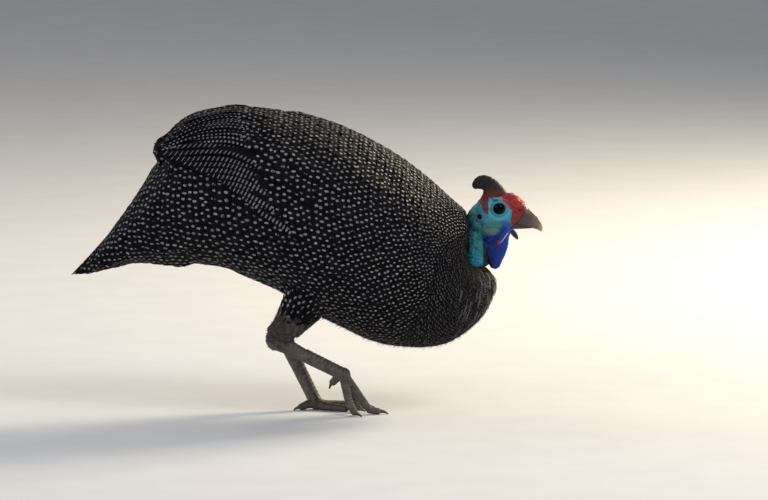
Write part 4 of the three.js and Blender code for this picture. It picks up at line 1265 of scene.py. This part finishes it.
# Each pair is a distance from the neck and the spacing there, both in mm.
SPOT_STEP = [(0, 1.8), (36, 2.0), (50, 2.6), (67, 3.3), (86, 4.1), (102, 4.9)]
SPOT_STEP += [(112, 5.4), (141, 5.7), (153, 6.1), (179, 6.6), (196, 6.6), (225, 7.2)]
SPOT_STEP += [(251, 7.5), (282, 6.7), (310, 6.2), (352, 5.4), (400, 5.2)]
BACK_STEP = [(0, 3.0), (36, 3.4), (50, 3.7), (67, 4.1), (89, 4.6), (117, 5.1)]
BACK_STEP += [(150, 5.5), (188, 5.8), (300, 5.6), (400, 5.4)]
FEATHER_STEP = [(0, 4.0), (36, 5.0), (67, 7.0), (89, 8.6), (117, 10.2)]
FEATHER_STEP += [(150, 11.4), (200, 12.4), (260, 12.0), (310, 10.6), (400, 9.5)]
# The lower border of the finely spotted back, as lengths and heights in side view.
BACK_BORDER = [(-200, 240), (-140, 262), (-60, 266), (0, 250), (60, 222), (110, 194), (145, 167)]
ROW_SHARE = 0.866


def step_at(table, distance):
    return np.interp(distance, *np.array(table).T)


def spot_step(places):
    """Spacing of the net of spots, in mm: along the flank, and finer over the back."""
    distance = np.linalg.norm(places - NECK_BASE, axis=-1)
    border = np.interp(places[..., 0], *np.array(BACK_BORDER).T)
    over_back = soft(places[..., 2] - border, -14, 14)
    return step_at(SPOT_STEP, distance) * (1 - over_back) + step_at(BACK_STEP, distance) * over_back


def feather_step(places):
    distance = np.linalg.norm(places - NECK_BASE, axis=-1)
    return step_at(FEATHER_STEP, distance)


# %% [markdown]
# The wave starts at the neck and crosses one triangle at a time. The time at a corner follows from
# the times at the other two, as for a straight wave front over the flat triangle, and each corner
# keeps the earliest time that any of its triangles gives it.

# %% Counting rows over the surface
def row_count(points, triangles, step):
    """How many rows lie between the neck and each point, a row being 0.866 of the spacing wide."""
    away = np.linalg.norm(points - NECK_BASE, axis=1)
    slowness = 1 / (ROW_SHARE * step(points))
    time = np.where(away < 16, (away - 16) * slowness, 1e6)
    corners = np.vstack([triangles[:, [0, 1, 2]], triangles[:, [1, 2, 0]], triangles[:, [2, 0, 1]]])
    a, b, c = corners.T
    to_a = (points[a] - points[c]) * slowness[c][:, None]
    to_b = (points[b] - points[c]) * slowness[c][:, None]
    aa, bb, ab = (to_a**2).sum(1), (to_b**2).sum(1), (to_a * to_b).sum(1)
    det = np.maximum(aa * bb - ab**2, 1e-12)
    qa, qb, qc = bb / det, aa / det, -ab / det
    total = qa + qb + 2 * qc
    for _ in range(400):
        ta, tb = time[a], time[b]
        linear = ta * (qa + qc) + tb * (qb + qc)
        inner = linear**2 - total * (qa * ta**2 + qb * tb**2 + 2 * qc * ta * tb - 1)
        through = (linear + np.sqrt(np.maximum(inner, 0))) / total
        lead_a = qa * (ta - through) + qc * (tb - through)
        lead_b = qc * (ta - through) + qb * (tb - through)
        good = (inner >= 0) & (lead_a < 0) & (lead_b < 0) & (ta < 1e5) & (tb < 1e5)
        reached = np.where(good, through, np.minimum(ta + np.sqrt(aa), tb + np.sqrt(bb)))
        before = time.copy()
        np.minimum.at(time, c, reached)
        if np.abs(before - time).max() < 1e-4:
            break
    return time


# %% [markdown]
# A row is then a line of equal count. It crosses the edges whose two ends lie on either side of the
# count, and is followed from edge to edge until it closes.

# %% Lines of equal count
def contour_loops(points, triangles, values, level):
    """Closed lines on a mesh along which the values equal the level."""
    high = values > level
    mixed = triangles[(high[triangles].sum(axis=1) % 3) != 0]
    ends = {}
    for tri in mixed:
        cut = []
        for a, b in ((tri[0], tri[1]), (tri[1], tri[2]), (tri[2], tri[0])):
            if high[a] != high[b]:
                cut.append((min(a, b), max(a, b)))
        ends.setdefault(cut[0], []).append(cut[1])
        ends.setdefault(cut[1], []).append(cut[0])
    loops = []
    while ends:
        start = next(iter(ends))
        line, here = [start], start
        while True:
            ahead = ends.get(here)
            if not ahead:
                ends.pop(here, None)
                break
            there = ahead.pop()
            ends[there].remove(here)
            if not ends[here]:
                ends.pop(here)
            if there == start:
                break
            line.append(there)
            here = there
        ends.pop(start, None)
        if len(line) > 6:
            a, b = np.array(line).T
            share = ((level - values[a]) / (values[b] - values[a]))[:, None]
            loops.append(points[a] * (1 - share) + points[b] * share)
    return loops


# %% [markdown]
# Places are counted off along each row from the midline of the back, down both sides, so that left
# and right are alike. Every second row starts half a step further on.

# %% Places along the rows
def places_along(loop, step, shifted):
    """Points down both sides of a closed row, starting from its highest place on the midline."""
    start = np.argmax(loop[:, 2] - 3 * np.abs(loop[:, 1]))
    loop = np.roll(loop, -start, axis=0)
    found = []
    for line in (loop, np.roll(loop[::-1], 1, axis=0)):
        closed = np.vstack([line, line[:1]])
        gaps = np.linalg.norm(np.diff(closed, axis=0), axis=1) / step((closed[1:] + closed[:-1]) / 2)
        run = np.r_[0, np.cumsum(gaps)]
        first = 0.5 if shifted else 1.0 if found else 0.0
        for at in np.arange(first, run[-1] / 2, 1.0):
            found.append(np.array([np.interp(at, run, closed[:, k]) for k in range(3)]))
    return found


def net_places(step):
    """Every place of the staggered rows over the plumage."""
    count = row_count(plumage_points, body_triangles, step)
    found = []
    for row in range(int(count[count < 1e5].max())):
        for loop in contour_loops(plumage_points, body_triangles, count, row + 0.013):
            if len(loop) >= 12:
                found += places_along(loop, step, row % 2)
    return np.array(found)


body_triangles = triangles_of(plumage_faces)
feather_places = net_places(feather_step)
print("places for body feathers", len(feather_places))

# %% [markdown]
# A feather is laid by walking over the plumage surface from its root: each step goes straight away
# from the neck, is brought back to the surface and notes the surface's normal there. On the
# drumsticks the walk turns down along the leg.

# %% Walking over the body
THIGHS = {
    -1: (np.array([4.0, -40, 128]), np.array(LEG_JOINTS["right"][0])),
    1: (np.array([14.0, 38, 122]), np.array(LEG_JOINTS["left"][0])),
}


def lie(place):
    """Which way feathers point at a place, before it is laid into the surface."""
    away = place - NECK_BASE
    away /= np.linalg.norm(away)
    back = np.array([-1.0, 0, 0.0])
    far = soft(np.linalg.norm(place - NECK_BASE), 120, 260)
    # Over the top of the drumsticks the feathers turn down the leg.
    to_leg = soft(-place[2], -126, -108) * hill(place[0] + 12, 26) * soft(abs(place[1]), 14, 26)
    return away * (1 - 0.5 * far) + back * 0.5 * far + np.array([-0.3, 0, -1.6]) * to_leg


def walk(root, length, stations, way=lie, surface=plumage):
    """Points and normals over the surface at the stations of a feather."""
    hit, normal, _, _ = surface.find_nearest(Vector(root))
    path, ups, heading = [np.array(hit)], [np.array(normal)], None
    for step in np.diff(stations) * length:
        here, up = path[-1], ups[-1]
        wanted = way(here)
        wanted = wanted - up * (wanted @ up)
        fall = np.array([0, 0, -1.0]) + up * up[2]
        wanted += fall * max(0.0, 0.75 - np.linalg.norm(wanted))
        wanted /= max(np.linalg.norm(wanted), 1e-9)
        heading = wanted if heading is None else heading * 0.5 + wanted * 0.5
        hit, normal, _, _ = surface.find_nearest(Vector(here + heading * step))
        path.append(np.array(hit))
        ups.append(np.array(normal) * 0.6 + up * 0.4)
    ups = np.array(ups)
    return np.array(path), ups / np.linalg.norm(ups, axis=1, keepdims=True)


# %% [markdown]
# ## The folded wing
# The wing shows its barred secondaries behind and below, a dark line where the tertials lie over
# them, the tertials with rows of dots, and round-spotted coverts in front. Three lines seen from
# the side lead everything: the lower edge of the wing, the line under the tertials, and the rear
# border of the coverts.

# %% Wing lines
# Points along the lines are lengths and heights in side view, in mm.
LOWER_LINE = [(-146.5, 249.0), (-139.8, 243.5), (-120, 237.5), (-99.3, 232.0), (-78.3, 221.4)]
LOWER_LINE += [(-62.9, 213.0), (-43.3, 200.7), (-23.8, 190.0), (0, 172.0), (40, 150.0)]
TERTIAL_LINE = [(-146.5, 252.8), (-139.8, 254.6), (-120.2, 259.5), (-99.3, 261.8), (-78.3, 262.3)]
TERTIAL_LINE += [(-62.9, 260.2), (-49.0, 254.2), (-37.8, 247.0), (-20, 234.0), (0, 218.0), (40, 190.0)]
# The rear border of the coverts runs up the wing, so it is given as heights and lengths.
COVERT_LINE = [(150, -10), (192.6, -23.8), (213, -36), (233, -46), (254.2, -51.0), (270, -58), (300, -66)]
LOWER_LINE, TERTIAL_LINE, COVERT_LINE = map(np.array, (LOWER_LINE, TERTIAL_LINE, COVERT_LINE))
WING_MIDDLE_DEPTH = 62
WING_END = -133.0
TOP_ANGLE = math.radians(73)


# %% [markdown]
# Places on the wing are found by rays onto the plumage surface. From the side they are given by
# length and height, and over the tertials by length and a share of the way up round the back.

# %% Finding places on the wing
def ray_hit(origin, direction):
    """Where a ray first meets the plumage, with the normal there."""
    hit, normal, _, _ = plumage.ray_cast(Vector(origin), Vector(direction))
    return (np.array(hit), np.array(normal)) if hit else (None, None)


def side_hit(u, z, side):
    """The plumage met from the side at a length along the bird and a height."""
    hit, normal = ray_hit((u, side * 300, z), (0, -side, 0))
    if hit is None:
        near, normal, _, _ = plumage.find_nearest(Vector((u, side * 12, z)))
        hit, normal = np.array(near), np.array(normal)
    return hit, normal


RIDGE_U = np.linspace(-150, 60, 43)
RIDGE_Z = [ray_hit((u, 0, 400), (0, 0, -1))[0][2] for u in RIDGE_U]


def wing_middle(u):
    """Height of the axis, under the ridge of the back, round which the upper wing is measured."""
    return np.interp(u, RIDGE_U, RIDGE_Z) - WING_MIDDLE_DEPTH


def upper_hit(u, w, side):
    """A point over the tertials: w is 0 at their lower line and 1 near the middle of the back."""
    middle = wing_middle(u)
    line, _ = side_hit(u, np.interp(u, *TERTIAL_LINE.T), side)
    low = math.atan2(line[2] - middle, abs(line[1]))
    angle = low + (TOP_ANGLE - low) * w
    ray = np.array([0, side * math.cos(angle), math.sin(angle)])
    hit, normal = ray_hit(np.array([u, 0, middle]) + ray * 200, -ray)
    if hit is None:
        return side_hit(u, line[2], side)
    return hit, normal


# %% [markdown]
# The long feathers cover a zone of the body. How deep a place lies inside it decides whether a body
# feather is left out there, and whether a spot of the net may show.

# %% Zone of the long wing feathers
def behind_coverts(place):
    """Millimetres behind the rear border of the round-spotted coverts."""
    return np.interp(place[2], *COVERT_LINE.T) - place[0]


def wing_depths(place):
    """How far inside the zone of the long wing feathers: above its lower line, behind, below its top."""
    u = place[0]
    if u < -147:
        return -1, -1, -1
    turn = math.atan2(place[2] - wing_middle(u), abs(place[1]))
    below_top = (TOP_ANGLE + 0.02 - turn) * WING_MIDDLE_DEPTH
    return place[2] - np.interp(u, *LOWER_LINE.T), behind_coverts(place), below_top


def over_wing(place):
    """The least of the three depths, in mm: less than 0 outside the long wing feathers."""
    return min(wing_depths(place))


def beside_wing(place):
    """Whether a spot of the net may show: outside the long feathers or just under their border."""
    low, behind, top = wing_depths(place)
    return low < 4 or behind < 4 or top < 1.5


# %% [markdown]
# A long wing feather follows a line over the body from its hidden root to its tip. In front of the
# rear border of the coverts it dips under them, and past the wing's end it runs on freely. Its marks
# are flat outlines laid on its own grid: round dots, and bars drawn out to both sides.

# %% Long wing feathers
FLIGHT_STATIONS = np.r_[np.linspace(0, 0.88, 17), 0.93, 0.965, 0.988]


def flight_width(t):
    """Secondaries are nearly straight-sided and end in a blunt round tip."""
    return np.clip(0.72 + 0.6 * t, 0, 1) * np.sqrt(np.clip(1 - soft(t, 0.84, 1.02) ** 2, 0, 1))


def wing_feather(coat, side, where, root_u, tip_u, half, high, crown=0.7, tilt=0.3):
    """A long feather along a line over the wing; where gives a point and normal for each u."""
    places = root_u + (tip_u - root_u) * FLIGHT_STATIONS
    path, ups = (np.array(p) for p in zip(*[where(max(u, WING_END)) for u in places]))
    # Past the end of the wing the vanes run on freely, drooping a little.
    last = int((places >= WING_END).sum()) - 1
    onward = path[last] - path[last - 2]
    onward /= -onward[0]
    for k in range(last + 1, len(places)):
        away = places[last] - places[k]
        path[k] = path[last] + onward * away - np.array([0, side * 0.006, 0.006]) * away**2
        ups[k] = ups[last]
    for _ in range(3):
        path[1:-1] = (path[:-2] + path[1:-1] * 2 + path[2:]) / 4
        ups[1:-1] = (ups[:-2] + ups[1:-1] * 2 + ups[2:]) / 4
    behind = np.array([behind_coverts(p) for p in path])
    lifts = np.interp(behind, [-25, -8, -1, 14], [-2.6, -1.7, -0.15, high])
    vane = Vane(path, ups, half, lifts, crown, FLIGHT_STATIONS, flight_width, tilt=-tilt * side)
    corner = add_vane(coat, vane, rng.uniform(0.3, 0.7))
    return vane, corner, behind


def add_patch(coat, vane, corner, across, along, slot, tone):
    """A flat marking from its outline on a vane, in mm across and shares along."""
    centre = np.array([np.mean(across)]), np.array([np.mean(along)])
    points = vane.on(np.r_[centre[0], across], np.r_[centre[1], along], SPOT_LIFT)
    fan, uv = fan_of(len(across))
    coat.add(points, [fan], slot, uv, corner + np.c_[0.7 + 0.25 * uv[:, 0], 0.9 * uv[:, 1]] * PATCH, tone)


def dot(coat, vane, corner, across, along, half_long, half_wide):
    turn = np.arange(8) * math.pi / 4
    uneven = 1 + rng.uniform(-0.08, 0.08, 8)
    add_patch(coat, vane, corner, across + half_wide * np.sin(turn) * uneven,
              along + half_long * np.cos(turn) * uneven / vane.length, WHITE, rng.uniform(0.2, 0.8))


def bar(coat, vane, corner, low, high, along, slant, width, tone):
    """A streak from mm low to high across the shaft, whose upper end lies rootwards by the slant."""
    t = np.array([0, 0.25, 0.75, 1, 0.75, 0.25])
    thick = np.array([0, 0.5, 0.5, 0, -0.5, -0.5]) * width
    runs = along + (thick - slant * t) / vane.length
    add_patch(coat, vane, corner, low + (high - low) * t, runs, WHITE, tone)


# %% [markdown]
# The secondaries lie in parallel strips of which only the lower vane shows, each crossed by pale
# bars that carry on from strip to strip in long slanting lines. The further out on the wing, the
# lower and the shorter the feather: each ends where its strip runs out at the wing's lower edge.

# %% Secondaries
STRIP = 5.3
PITCH = 4.6
BAR_LEAN = math.radians(60)
wing_coats = {}


def band_height(u):
    return np.interp(u, *TERTIAL_LINE.T) - np.interp(u, *LOWER_LINE.T)


def strip_line(below, side):
    """Follows the tertial line at a distance below it, at a steady share of the band in front."""
    def where(u):
        share = below / band_height(min(u, -49.0))
        return side_hit(u, np.interp(u, *TERTIAL_LINE.T) - share * band_height(u), side)
    return where


BAND_U = np.linspace(-144.5, -49, 60)
for side_name, side in (("left", 1), ("right", -1)):
    coat = Coat(f"wing_feathers_{side_name}")
    wing_coats[side] = coat
    for k in reversed(range(10)):
        half = 8.0
        tip_u = np.interp((k + 0.75) * STRIP, band_height(BAND_U), BAND_U)
        line = strip_line((k + 1) * STRIP - half * 0.86, side)
        vane, corner, behind = wing_feather(coat, side, line, 22.0, tip_u, half, 1.5 - 0.09 * k, 0.35, 0.75)
        heights = np.gradient(vane.path[:, 2]) / np.maximum(-np.gradient(vane.path[:, 0]), 1e-6)
        phase = np.array([p[0] - p[2] / math.tan(BAR_LEAN) for p in vane.path])
        order = np.argsort(phase)
        first = math.ceil(phase.min() / PITCH) * PITCH
        for level in np.arange(first, phase.max(), PITCH):
            along = np.interp(level, phase[order], vane.t[order])
            if along > 0.975:
                continue
            shown = vane.on(np.array([-side * 4.8]), np.array([along]), 0)[0]
            if behind_coverts(shown) < -5:
                continue
            slope = math.atan(np.interp(along, vane.t, heights))
            edge = np.interp(along, vane.t, vane.half)
            if edge < 4.5:
                dot(coat, vane, corner, -side * edge * 0.45, along, 0.8, 0.8)
                continue
            low, high = -side * edge * 0.95, -side * (edge - STRIP / 0.86 + 0.7)
            slant = abs(low - high) * math.tan(math.radians(30) - slope)
            width = np.interp(k, [0, 9], [1.35, 1.6]) * rng.uniform(0.9, 1.1)
            bar(coat, vane, corner, low, high, along, slant, width, rng.uniform(0.0, 0.5))

# %% [markdown]
# Each tertial carries three rows of dots, the third along the edge of the vane above it. The rows of
# the lowest tertial, just above the dark line, are the boldest. One inner tertial is barred instead
# over the middle of its length.

# %% Tertials
TERTIALS = 6


def tertial_line(share, side):
    """Follows the wing at a share of the way up the back, drawn together at the wing's end."""
    def where(u):
        return upper_hit(u, share * np.interp(u, [-146, -100], [0.8, 1.0]), side)
    return where


for side, coat in wing_coats.items():
    for k in range(TERTIALS):
        share = (k + 0.9) / TERTIALS
        half = np.interp(k, [0, TERTIALS - 1], [7.6, 8.4])
        tip_u = (-145.5, -144.5, -142, -137, -129, -118)[k]
        line = tertial_line(share, side)
        vane, corner, behind = wing_feather(coat, side, line, 5.0, tip_u, half, 1.3 + 0.1 * k, 0.45, 0.6)
        for row, offset in enumerate((half - 2.4, half - 6.9, half - 11.2)):
            start = rng.uniform(0, 1) * PITCH
            for run in np.arange(start, vane.length, PITCH * 0.98):
                along = run / vane.length
                edge = np.interp(along, vane.t, vane.half)
                if np.interp(along, vane.t, behind) < -4 or abs(offset) > edge - 0.8 or along > 0.975:
                    continue
                u = np.interp(along, vane.t, vane.path[:, 0])
                big = (1.08, 0.92, 0.86, 0.8, 0.74, 0.7)[k]
                if k == 3 and -98 < u < -58 and row < 2:
                    low, high = -side * (offset + 2.1), -side * (offset - 2.1)
                    bar(coat, vane, corner, low, high, along, 2.6, 0.95, 0.3)
                else:
                    dot(coat, vane, corner, -side * offset, along, big * 1.15, big * 0.95)
        note_top(vane)

# %% [markdown]
# Bare neck and drumstick have no body feathers, so each place first asks which solid it lies
# nearest to.

# %% Neck, flank or leg
trees = {}
for name in ("torso", "neck", "thigh_left", "thigh_right", "tail"):
    mesh = nodes[name].data
    trees[name] = BVHTree.FromPolygons(
        [tuple(v.co / MM) for v in mesh.vertices], [tuple(p.vertices) for p in mesh.polygons]
    )


def near(name, place):
    return trees[name].find_nearest(Vector(place))[3]


def on_neck(place):
    return place[0] > 143 and near("neck", place) < min(near("torso", place), 1.6)


def on_leg(place):
    """Below the flank, on a drumstick."""
    if place[2] > 112:
        return False
    return near("thigh_left" if place[1] > 0 else "thigh_right", place) < near("torso", place) - 1.0


# %% [markdown]
# Now the body feathers. Each reaches a little over two rows back, so that about half of it shows.
# Roots are sunk by about a millimetre and tips raised by a few tenths, more on the flank than on the
# ruff. Under the belly the rims fray into longer barbs, and on the wing's end feathers lie flat.

# %% Body feathers
def contour_feather(coat, root, step, distance, slot=SLATE, way=lie, surface=plumage, long=2.15, rise=None):
    """Lays one body feather, unless its tip would lie on the long wing feathers."""
    pitch = ROW_SHARE * step
    path, ups = walk(root, long * pitch * rng.uniform(0.95, 1.06), CONTOUR_STATIONS, way, surface)
    if over_wing(path[-1]) > 3 or (over_wing(path[-1]) > 1 and over_wing(path[0]) > 1):
        return
    half = 0.72 * step
    bold = soft(distance, 25, 90)
    at_end = root[0] < -112 and root[2] > 240
    low, high = (-1.2, -0.6) if at_end else rise or (-0.8 - 0.4 * bold, 0.15 + 0.15 * bold)
    lifts = low + (high - low + rng.uniform(-0.06, 0.08)) * soft(CONTOUR_STATIONS, 0, 0.9)
    vane = Vane(path, ups, half, lifts, 0.08 + half**2 / 420, CONTOUR_STATIONS, tilt=rng.uniform(-0.05, 0.05),
                surface=surface)
    corner = add_vane(coat, vane, rng.uniform(0, 1), slot)
    note_top(vane)
    under = soft(-path[-1][2], -125, -95)
    reach = (0.10 + 0.55 * under * rng.uniform(0.2, 1)) * step
    add_barbs(coat, vane, corner, 0 if at_end else int(3 + 7 * under), reach, 0.6, slot, 0.35 + 0.45 * under)


coats = [Coat("mantle_feathers"), Coat("flank_feathers"), Coat("rear_feathers")]


def coat_at(distance):
    return coats[0] if distance < 105 else coats[1] if distance < 215 else coats[2]


for place in feather_places:
    if place[0] > -207 and not on_neck(place) and not on_leg(place):
        distance = np.linalg.norm(place - NECK_BASE)
        contour_feather(coat_at(distance), place, feather_step(place), distance)
print("body feathers", sum(c.feathers for c in coats))

# %% [markdown]
# At the front of the breast some loose plumes hang over the ruff: longer and much narrower than the
# feathers under them. Most of them and their loose barbs take the pale streak finish, as painted light
# where the warm lamp grazes the front of the breast.

# %% Plumes of the breast
def hanging(place):
    """Nearly straight down, parting a little to both sides."""
    return np.array([-0.15, 0.1 * place[1] / 20, -1.0])


for place in feather_places:
    if place[0] > 147 and 84 < place[2] < 141 and not on_neck(place) and rng.random() < 0.55:
        path, ups = walk(place, rng.uniform(11, 20), CONTOUR_STATIONS, hanging)
        lifts = -0.4 + rng.uniform(0.9, 2.0) * soft(CONTOUR_STATIONS, 0, 1)
        vane = Vane(path, ups, rng.uniform(0.7, 1.3), lifts, 0.1, CONTOUR_STATIONS)
        # Painted light: most plumes and all their barbs take the pale streak finish, lighter than the slate
        # vanes beneath.
        corner = add_vane(coats[0], vane, rng.uniform(0.1, 1.0), STREAK if rng.random() < 0.6 else SLATE)
        add_barbs(coats[0], vane, corner, 5, 2.4, 0.7, STREAK)

# %% [markdown]
# ## Drumsticks
# The feathered drumstick ends at the ankle. Its feathers are short, plain and grey-brown, and lie
# down along the leg in rows round it.

# %% Leg feathers
for side, (hip, ankle) in THIGHS.items():
    surface = leg_surfaces["left" if side > 0 else "right"]
    bone = (ankle - hip) / np.linalg.norm(ankle - hip)
    length = np.linalg.norm(ankle - hip)
    out = np.cross(bone, [0, 1, 0])
    out /= np.linalg.norm(out)
    beside = np.cross(bone, out)

    def down_leg(place, bone=bone):
        return bone

    for row, reach in enumerate(np.arange(4, length - 3.5, 3.6)):
        count = int(np.interp(reach, [0, length], [28, 13]))
        for k in range(count):
            turn = 2 * math.pi * (k + 0.5 * (row % 2)) / count
            ray = out * math.cos(turn) + beside * math.sin(turn)
            start = hip + bone * reach
            hit = surface.ray_cast(Vector(start + ray * 34), Vector(-ray), 34)[0]
            if hit is None or not on_leg(np.array(hit)):
                continue
            step = np.interp(reach, [0, length], [6.5, 3.6])
            slot = BROWN if reach > length * 0.42 + rng.uniform(-5, 5) else SLATE
            contour_feather(coats[1], np.array(hit), step, 0, slot, down_leg, surface, 2.5, (-0.6, 0.35))

# %% [markdown]
# ## Tail feathers
# The tail is short and droops. Its long feathers fan out only a little under the rows of coverts,
# so they are laid here from the outermost to the middle one, their tips reaching past the last row
# of coverts.

# %% Tail feathers
TAIL_STATIONS = np.linspace(0, 0.985, 12)
TAIL_END = -196.0


def tail_width(t):
    """Tail feathers taper to a narrow round tip when the tail is shut."""
    return np.clip(0.72 + 0.6 * t, 0, 1) * np.sqrt(np.clip(1 - 0.94 * soft(t, 0.45, 1.05), 0, 1))


for side in (1, -1):
    for k in reversed(range(8)):
        angle = math.radians(np.interp(k, [0, 7], [86, -8]))
        tip = np.array([-225.5 + 1.3 * k, side * (0.6 + 0.55 * k), 129.3 + 0.5 * k])
        path, ups = [], []
        for t in TAIL_STATIONS:
            x = -150 + (tip[0] + 150) * t
            if x > TAIL_END:
                top, _ = ray_hit((x, 0, 400), (0, 0, -1))
                low, _ = ray_hit((x, 0, -50), (0, 0, 1))
                middle = np.array([x, 0, (top[2] + low[2]) / 2])
                ray = np.array([0, side * math.cos(angle), math.sin(angle)])
                hit, normal = ray_hit(middle + ray * 120, -ray)
                last = hit
            else:
                hit = last + (tip - last) * (x - last[0]) / (tip[0] - last[0])
            path.append(hit)
            ups.append(normal)
        lifts = -0.9 + (1.2 - 0.05 * k) * soft(TAIL_STATIONS, 0, 0.7)
        half = np.interp(k, [0, 7], [5.5, 7.5])
        path, ups = np.array(path), np.array(ups)
        vane = Vane(path, ups, half, lifts, 0.8, TAIL_STATIONS, tail_width, tilt=0.2 * side)
        corner = add_vane(coats[2], vane, rng.uniform(0.2, 0.9))
        note_top(vane)
        add_barbs(coats[2], vane, corner, 8, 0.9, 0.5)
        for along in np.arange(0.80, 0.96, 0.045):
            edge = np.interp(along, vane.t, vane.half)
            dot(coats[2], vane, corner, rng.uniform(-0.6, 0.6) * edge, along, 0.85, 0.75)

# %% [markdown]
# ## The net of spots
# Where two places of the net lie closer than half a step, one is dropped. The others are pushed
# apart a little until they are even. Each then takes the marking of its own zone: plain slate at the
# neck, fine cross lines on the ruff, and beyond them dots that grow towards the flank.

# %% Places of the net
spots = np.array([p for p in net_places(spot_step) if beside_wing(p) and not on_neck(p)])
for _ in range(4):
    tree = KDTree(len(spots))
    for k, p in enumerate(spots):
        tree.insert(p, k)
    tree.balance()
    steps = spot_step(spots)
    moved = spots.copy()
    alone = np.ones(len(spots), bool)
    for k, p in enumerate(spots):
        for other, j, distance in tree.find_range(p, steps[k]):
            if j == k or not alone[j]:
                continue
            if distance < 0.5 * steps[k]:
                alone[k] = False
                break
            moved[k] += (p - np.array(other)) / distance * (steps[k] - distance) * 0.2
    spots = np.array([plumage.find_nearest(Vector(p))[0] for p in moved[alone]])
print("places in the net", len(spots))

# %% [markdown]
# Every place takes its marking. A dot is a slightly uneven oval drawn out along the feather. On the
# ruff it becomes a fine streak across, a little askew. Tones fade towards the ruff. On the mantle
# above it and at the very front of the breast the spots are painted paler and warmer, as painted sunlight.

# %% Laying spots and lines
tops = top_tree()


def lie_frame(place):
    """The outward normal, the way the feathers lie and the way across them."""
    normal = np.array(plumage.find_nearest(Vector(place))[1])
    along = lie(place)
    along = along - normal * (along @ normal)
    along /= max(np.linalg.norm(along), 1e-6)
    return normal, along, np.cross(normal, along)


# In front of this line, as z and x, the dots run together into fine cross lines.
LINED_FRONT = np.array([(60, 78), (86, 98), (110, 110), (140, 120), (160, 125), (168, 134), (178, 152)])
for place in spots:
    distance = np.linalg.norm(place - NECK_BASE)
    step = float(spot_step(place))
    if distance < 24 + rng.uniform(-7, 3) or (on_leg(place) and place[2] < 97 + rng.uniform(-4, 4)):
        continue
    normal, along, across = lie_frame(place)
    into_lines = place[0] - np.interp(place[2], *LINED_FRONT.T) + rng.uniform(-3, 3)
    half = step * np.interp(step, [2.0, 3.0, 5.0, 8.0], [0.25, 0.22, 0.21, 0.225]) * rng.uniform(0.78, 1.12)
    longer = rng.uniform(1.0, 1.45)
    if into_lines > 0:
        wide = np.interp(into_lines, [0, 14], [0.28, 0.46]) * step * rng.uniform(0.7, 1.15)
        askew = rng.normal(0, 0.22)
        lean, straight = math.sin(askew), math.cos(askew)
        along, across = along * straight + across * lean, across * straight - along * lean
        outline = oval(along, across, 0.15 * step * rng.uniform(0.75, 1.3), wide, 6)
    else:
        outline = oval(along, across, half * longer, half / longer)
    slot = STREAK if into_lines > -1 else WHITE
    fading = np.interp(into_lines, [-28, -2, 0, 14, 40], [1.0, 0.5, 1.1, 0.9, 0.35])
    # Painted sunlight: on the mantle and at the very front of the breast, where the warm low lamp falls, the
    # spots' tones are raised towards their palest, warmest stop.
    above_border = place[2] - np.interp(place[0], *np.array(BACK_BORDER).T)
    on_mantle = soft(above_border, -12, 12) * soft(place[0], 20, 70)
    painted_sunlight = max(on_mantle, soft(place[0], 156, 168) * soft(-place[2], -138, -130))
    tone = rng.uniform(0.05, 0.95) * fading * (1 - painted_sunlight) + rng.uniform(0.9, 1.6) * painted_sunlight
    shift = 0.12 if into_lines > 0 else 0.085
    place = place + along * rng.normal(0, shift * step) + across * rng.normal(0, shift * step)
    lay(coat_at(distance), tops, place, normal, outline, slot, tone)

# %% [markdown]
# ## Hair feathers on the neck
# The bare neck carries sparse dark filoplumes, each hardly more than a hair. They grow all round the
# neck and up the nape, and are thin curved blades here.

# %% Filoplumes
BLADE = np.array([(0, 2, 1), (1, 2, 3), (2, 4, 3)])
BLADE_MAP = np.array([(0.3, 0), (0.7, 0), (0.35, 0.5), (0.65, 0.5), (0.5, 1.0)])
head_normals = point_normals(head_points, head_faces)
x, y, z = head_points.T
bare_neck = (z > 141) & (z < 192) & (x < 167) & ((z < 180) | (x < 160))
candidates = np.flatnonzero(bare_neck & (np.abs(head_normals[:, 2]) < 0.9))
for index in rng.choice(candidates, 260, replace=False):
    base, up = head_points[index], head_normals[index]
    down = np.array([-0.35, 0, -1.0])
    down -= up * (down @ up)
    down /= np.linalg.norm(down)
    wide = np.cross(up, down) * 0.11
    reach = rng.uniform(3.0, 6.5)
    spread = rng.normal(0, 0.15)
    middle = base + (down + wide * spread) * reach * 0.5 + up * 0.75
    tip = base + (down + wide * spread * 9) * reach + up * 0.9
    sunk = base - up * 0.3
    points = np.array([sunk - wide, sunk + wide, middle - wide * 0.8, middle + wide * 0.8, tip])
    coats[0].add(points, [BLADE], SLATE, BLADE_MAP, bake_patch(base) + BLADE_MAP * 0.95 * PATCH, 0.5)

# %% [markdown]
# With every feather and marking gathered, each coat is built once.

# %% Coat meshes
for coat in coats:
    coat.build(FEATHER_FINISHES, "plumage")
for coat in wing_coats.values():
    coat.build(FEATHER_FINISHES, "flight_feathers")
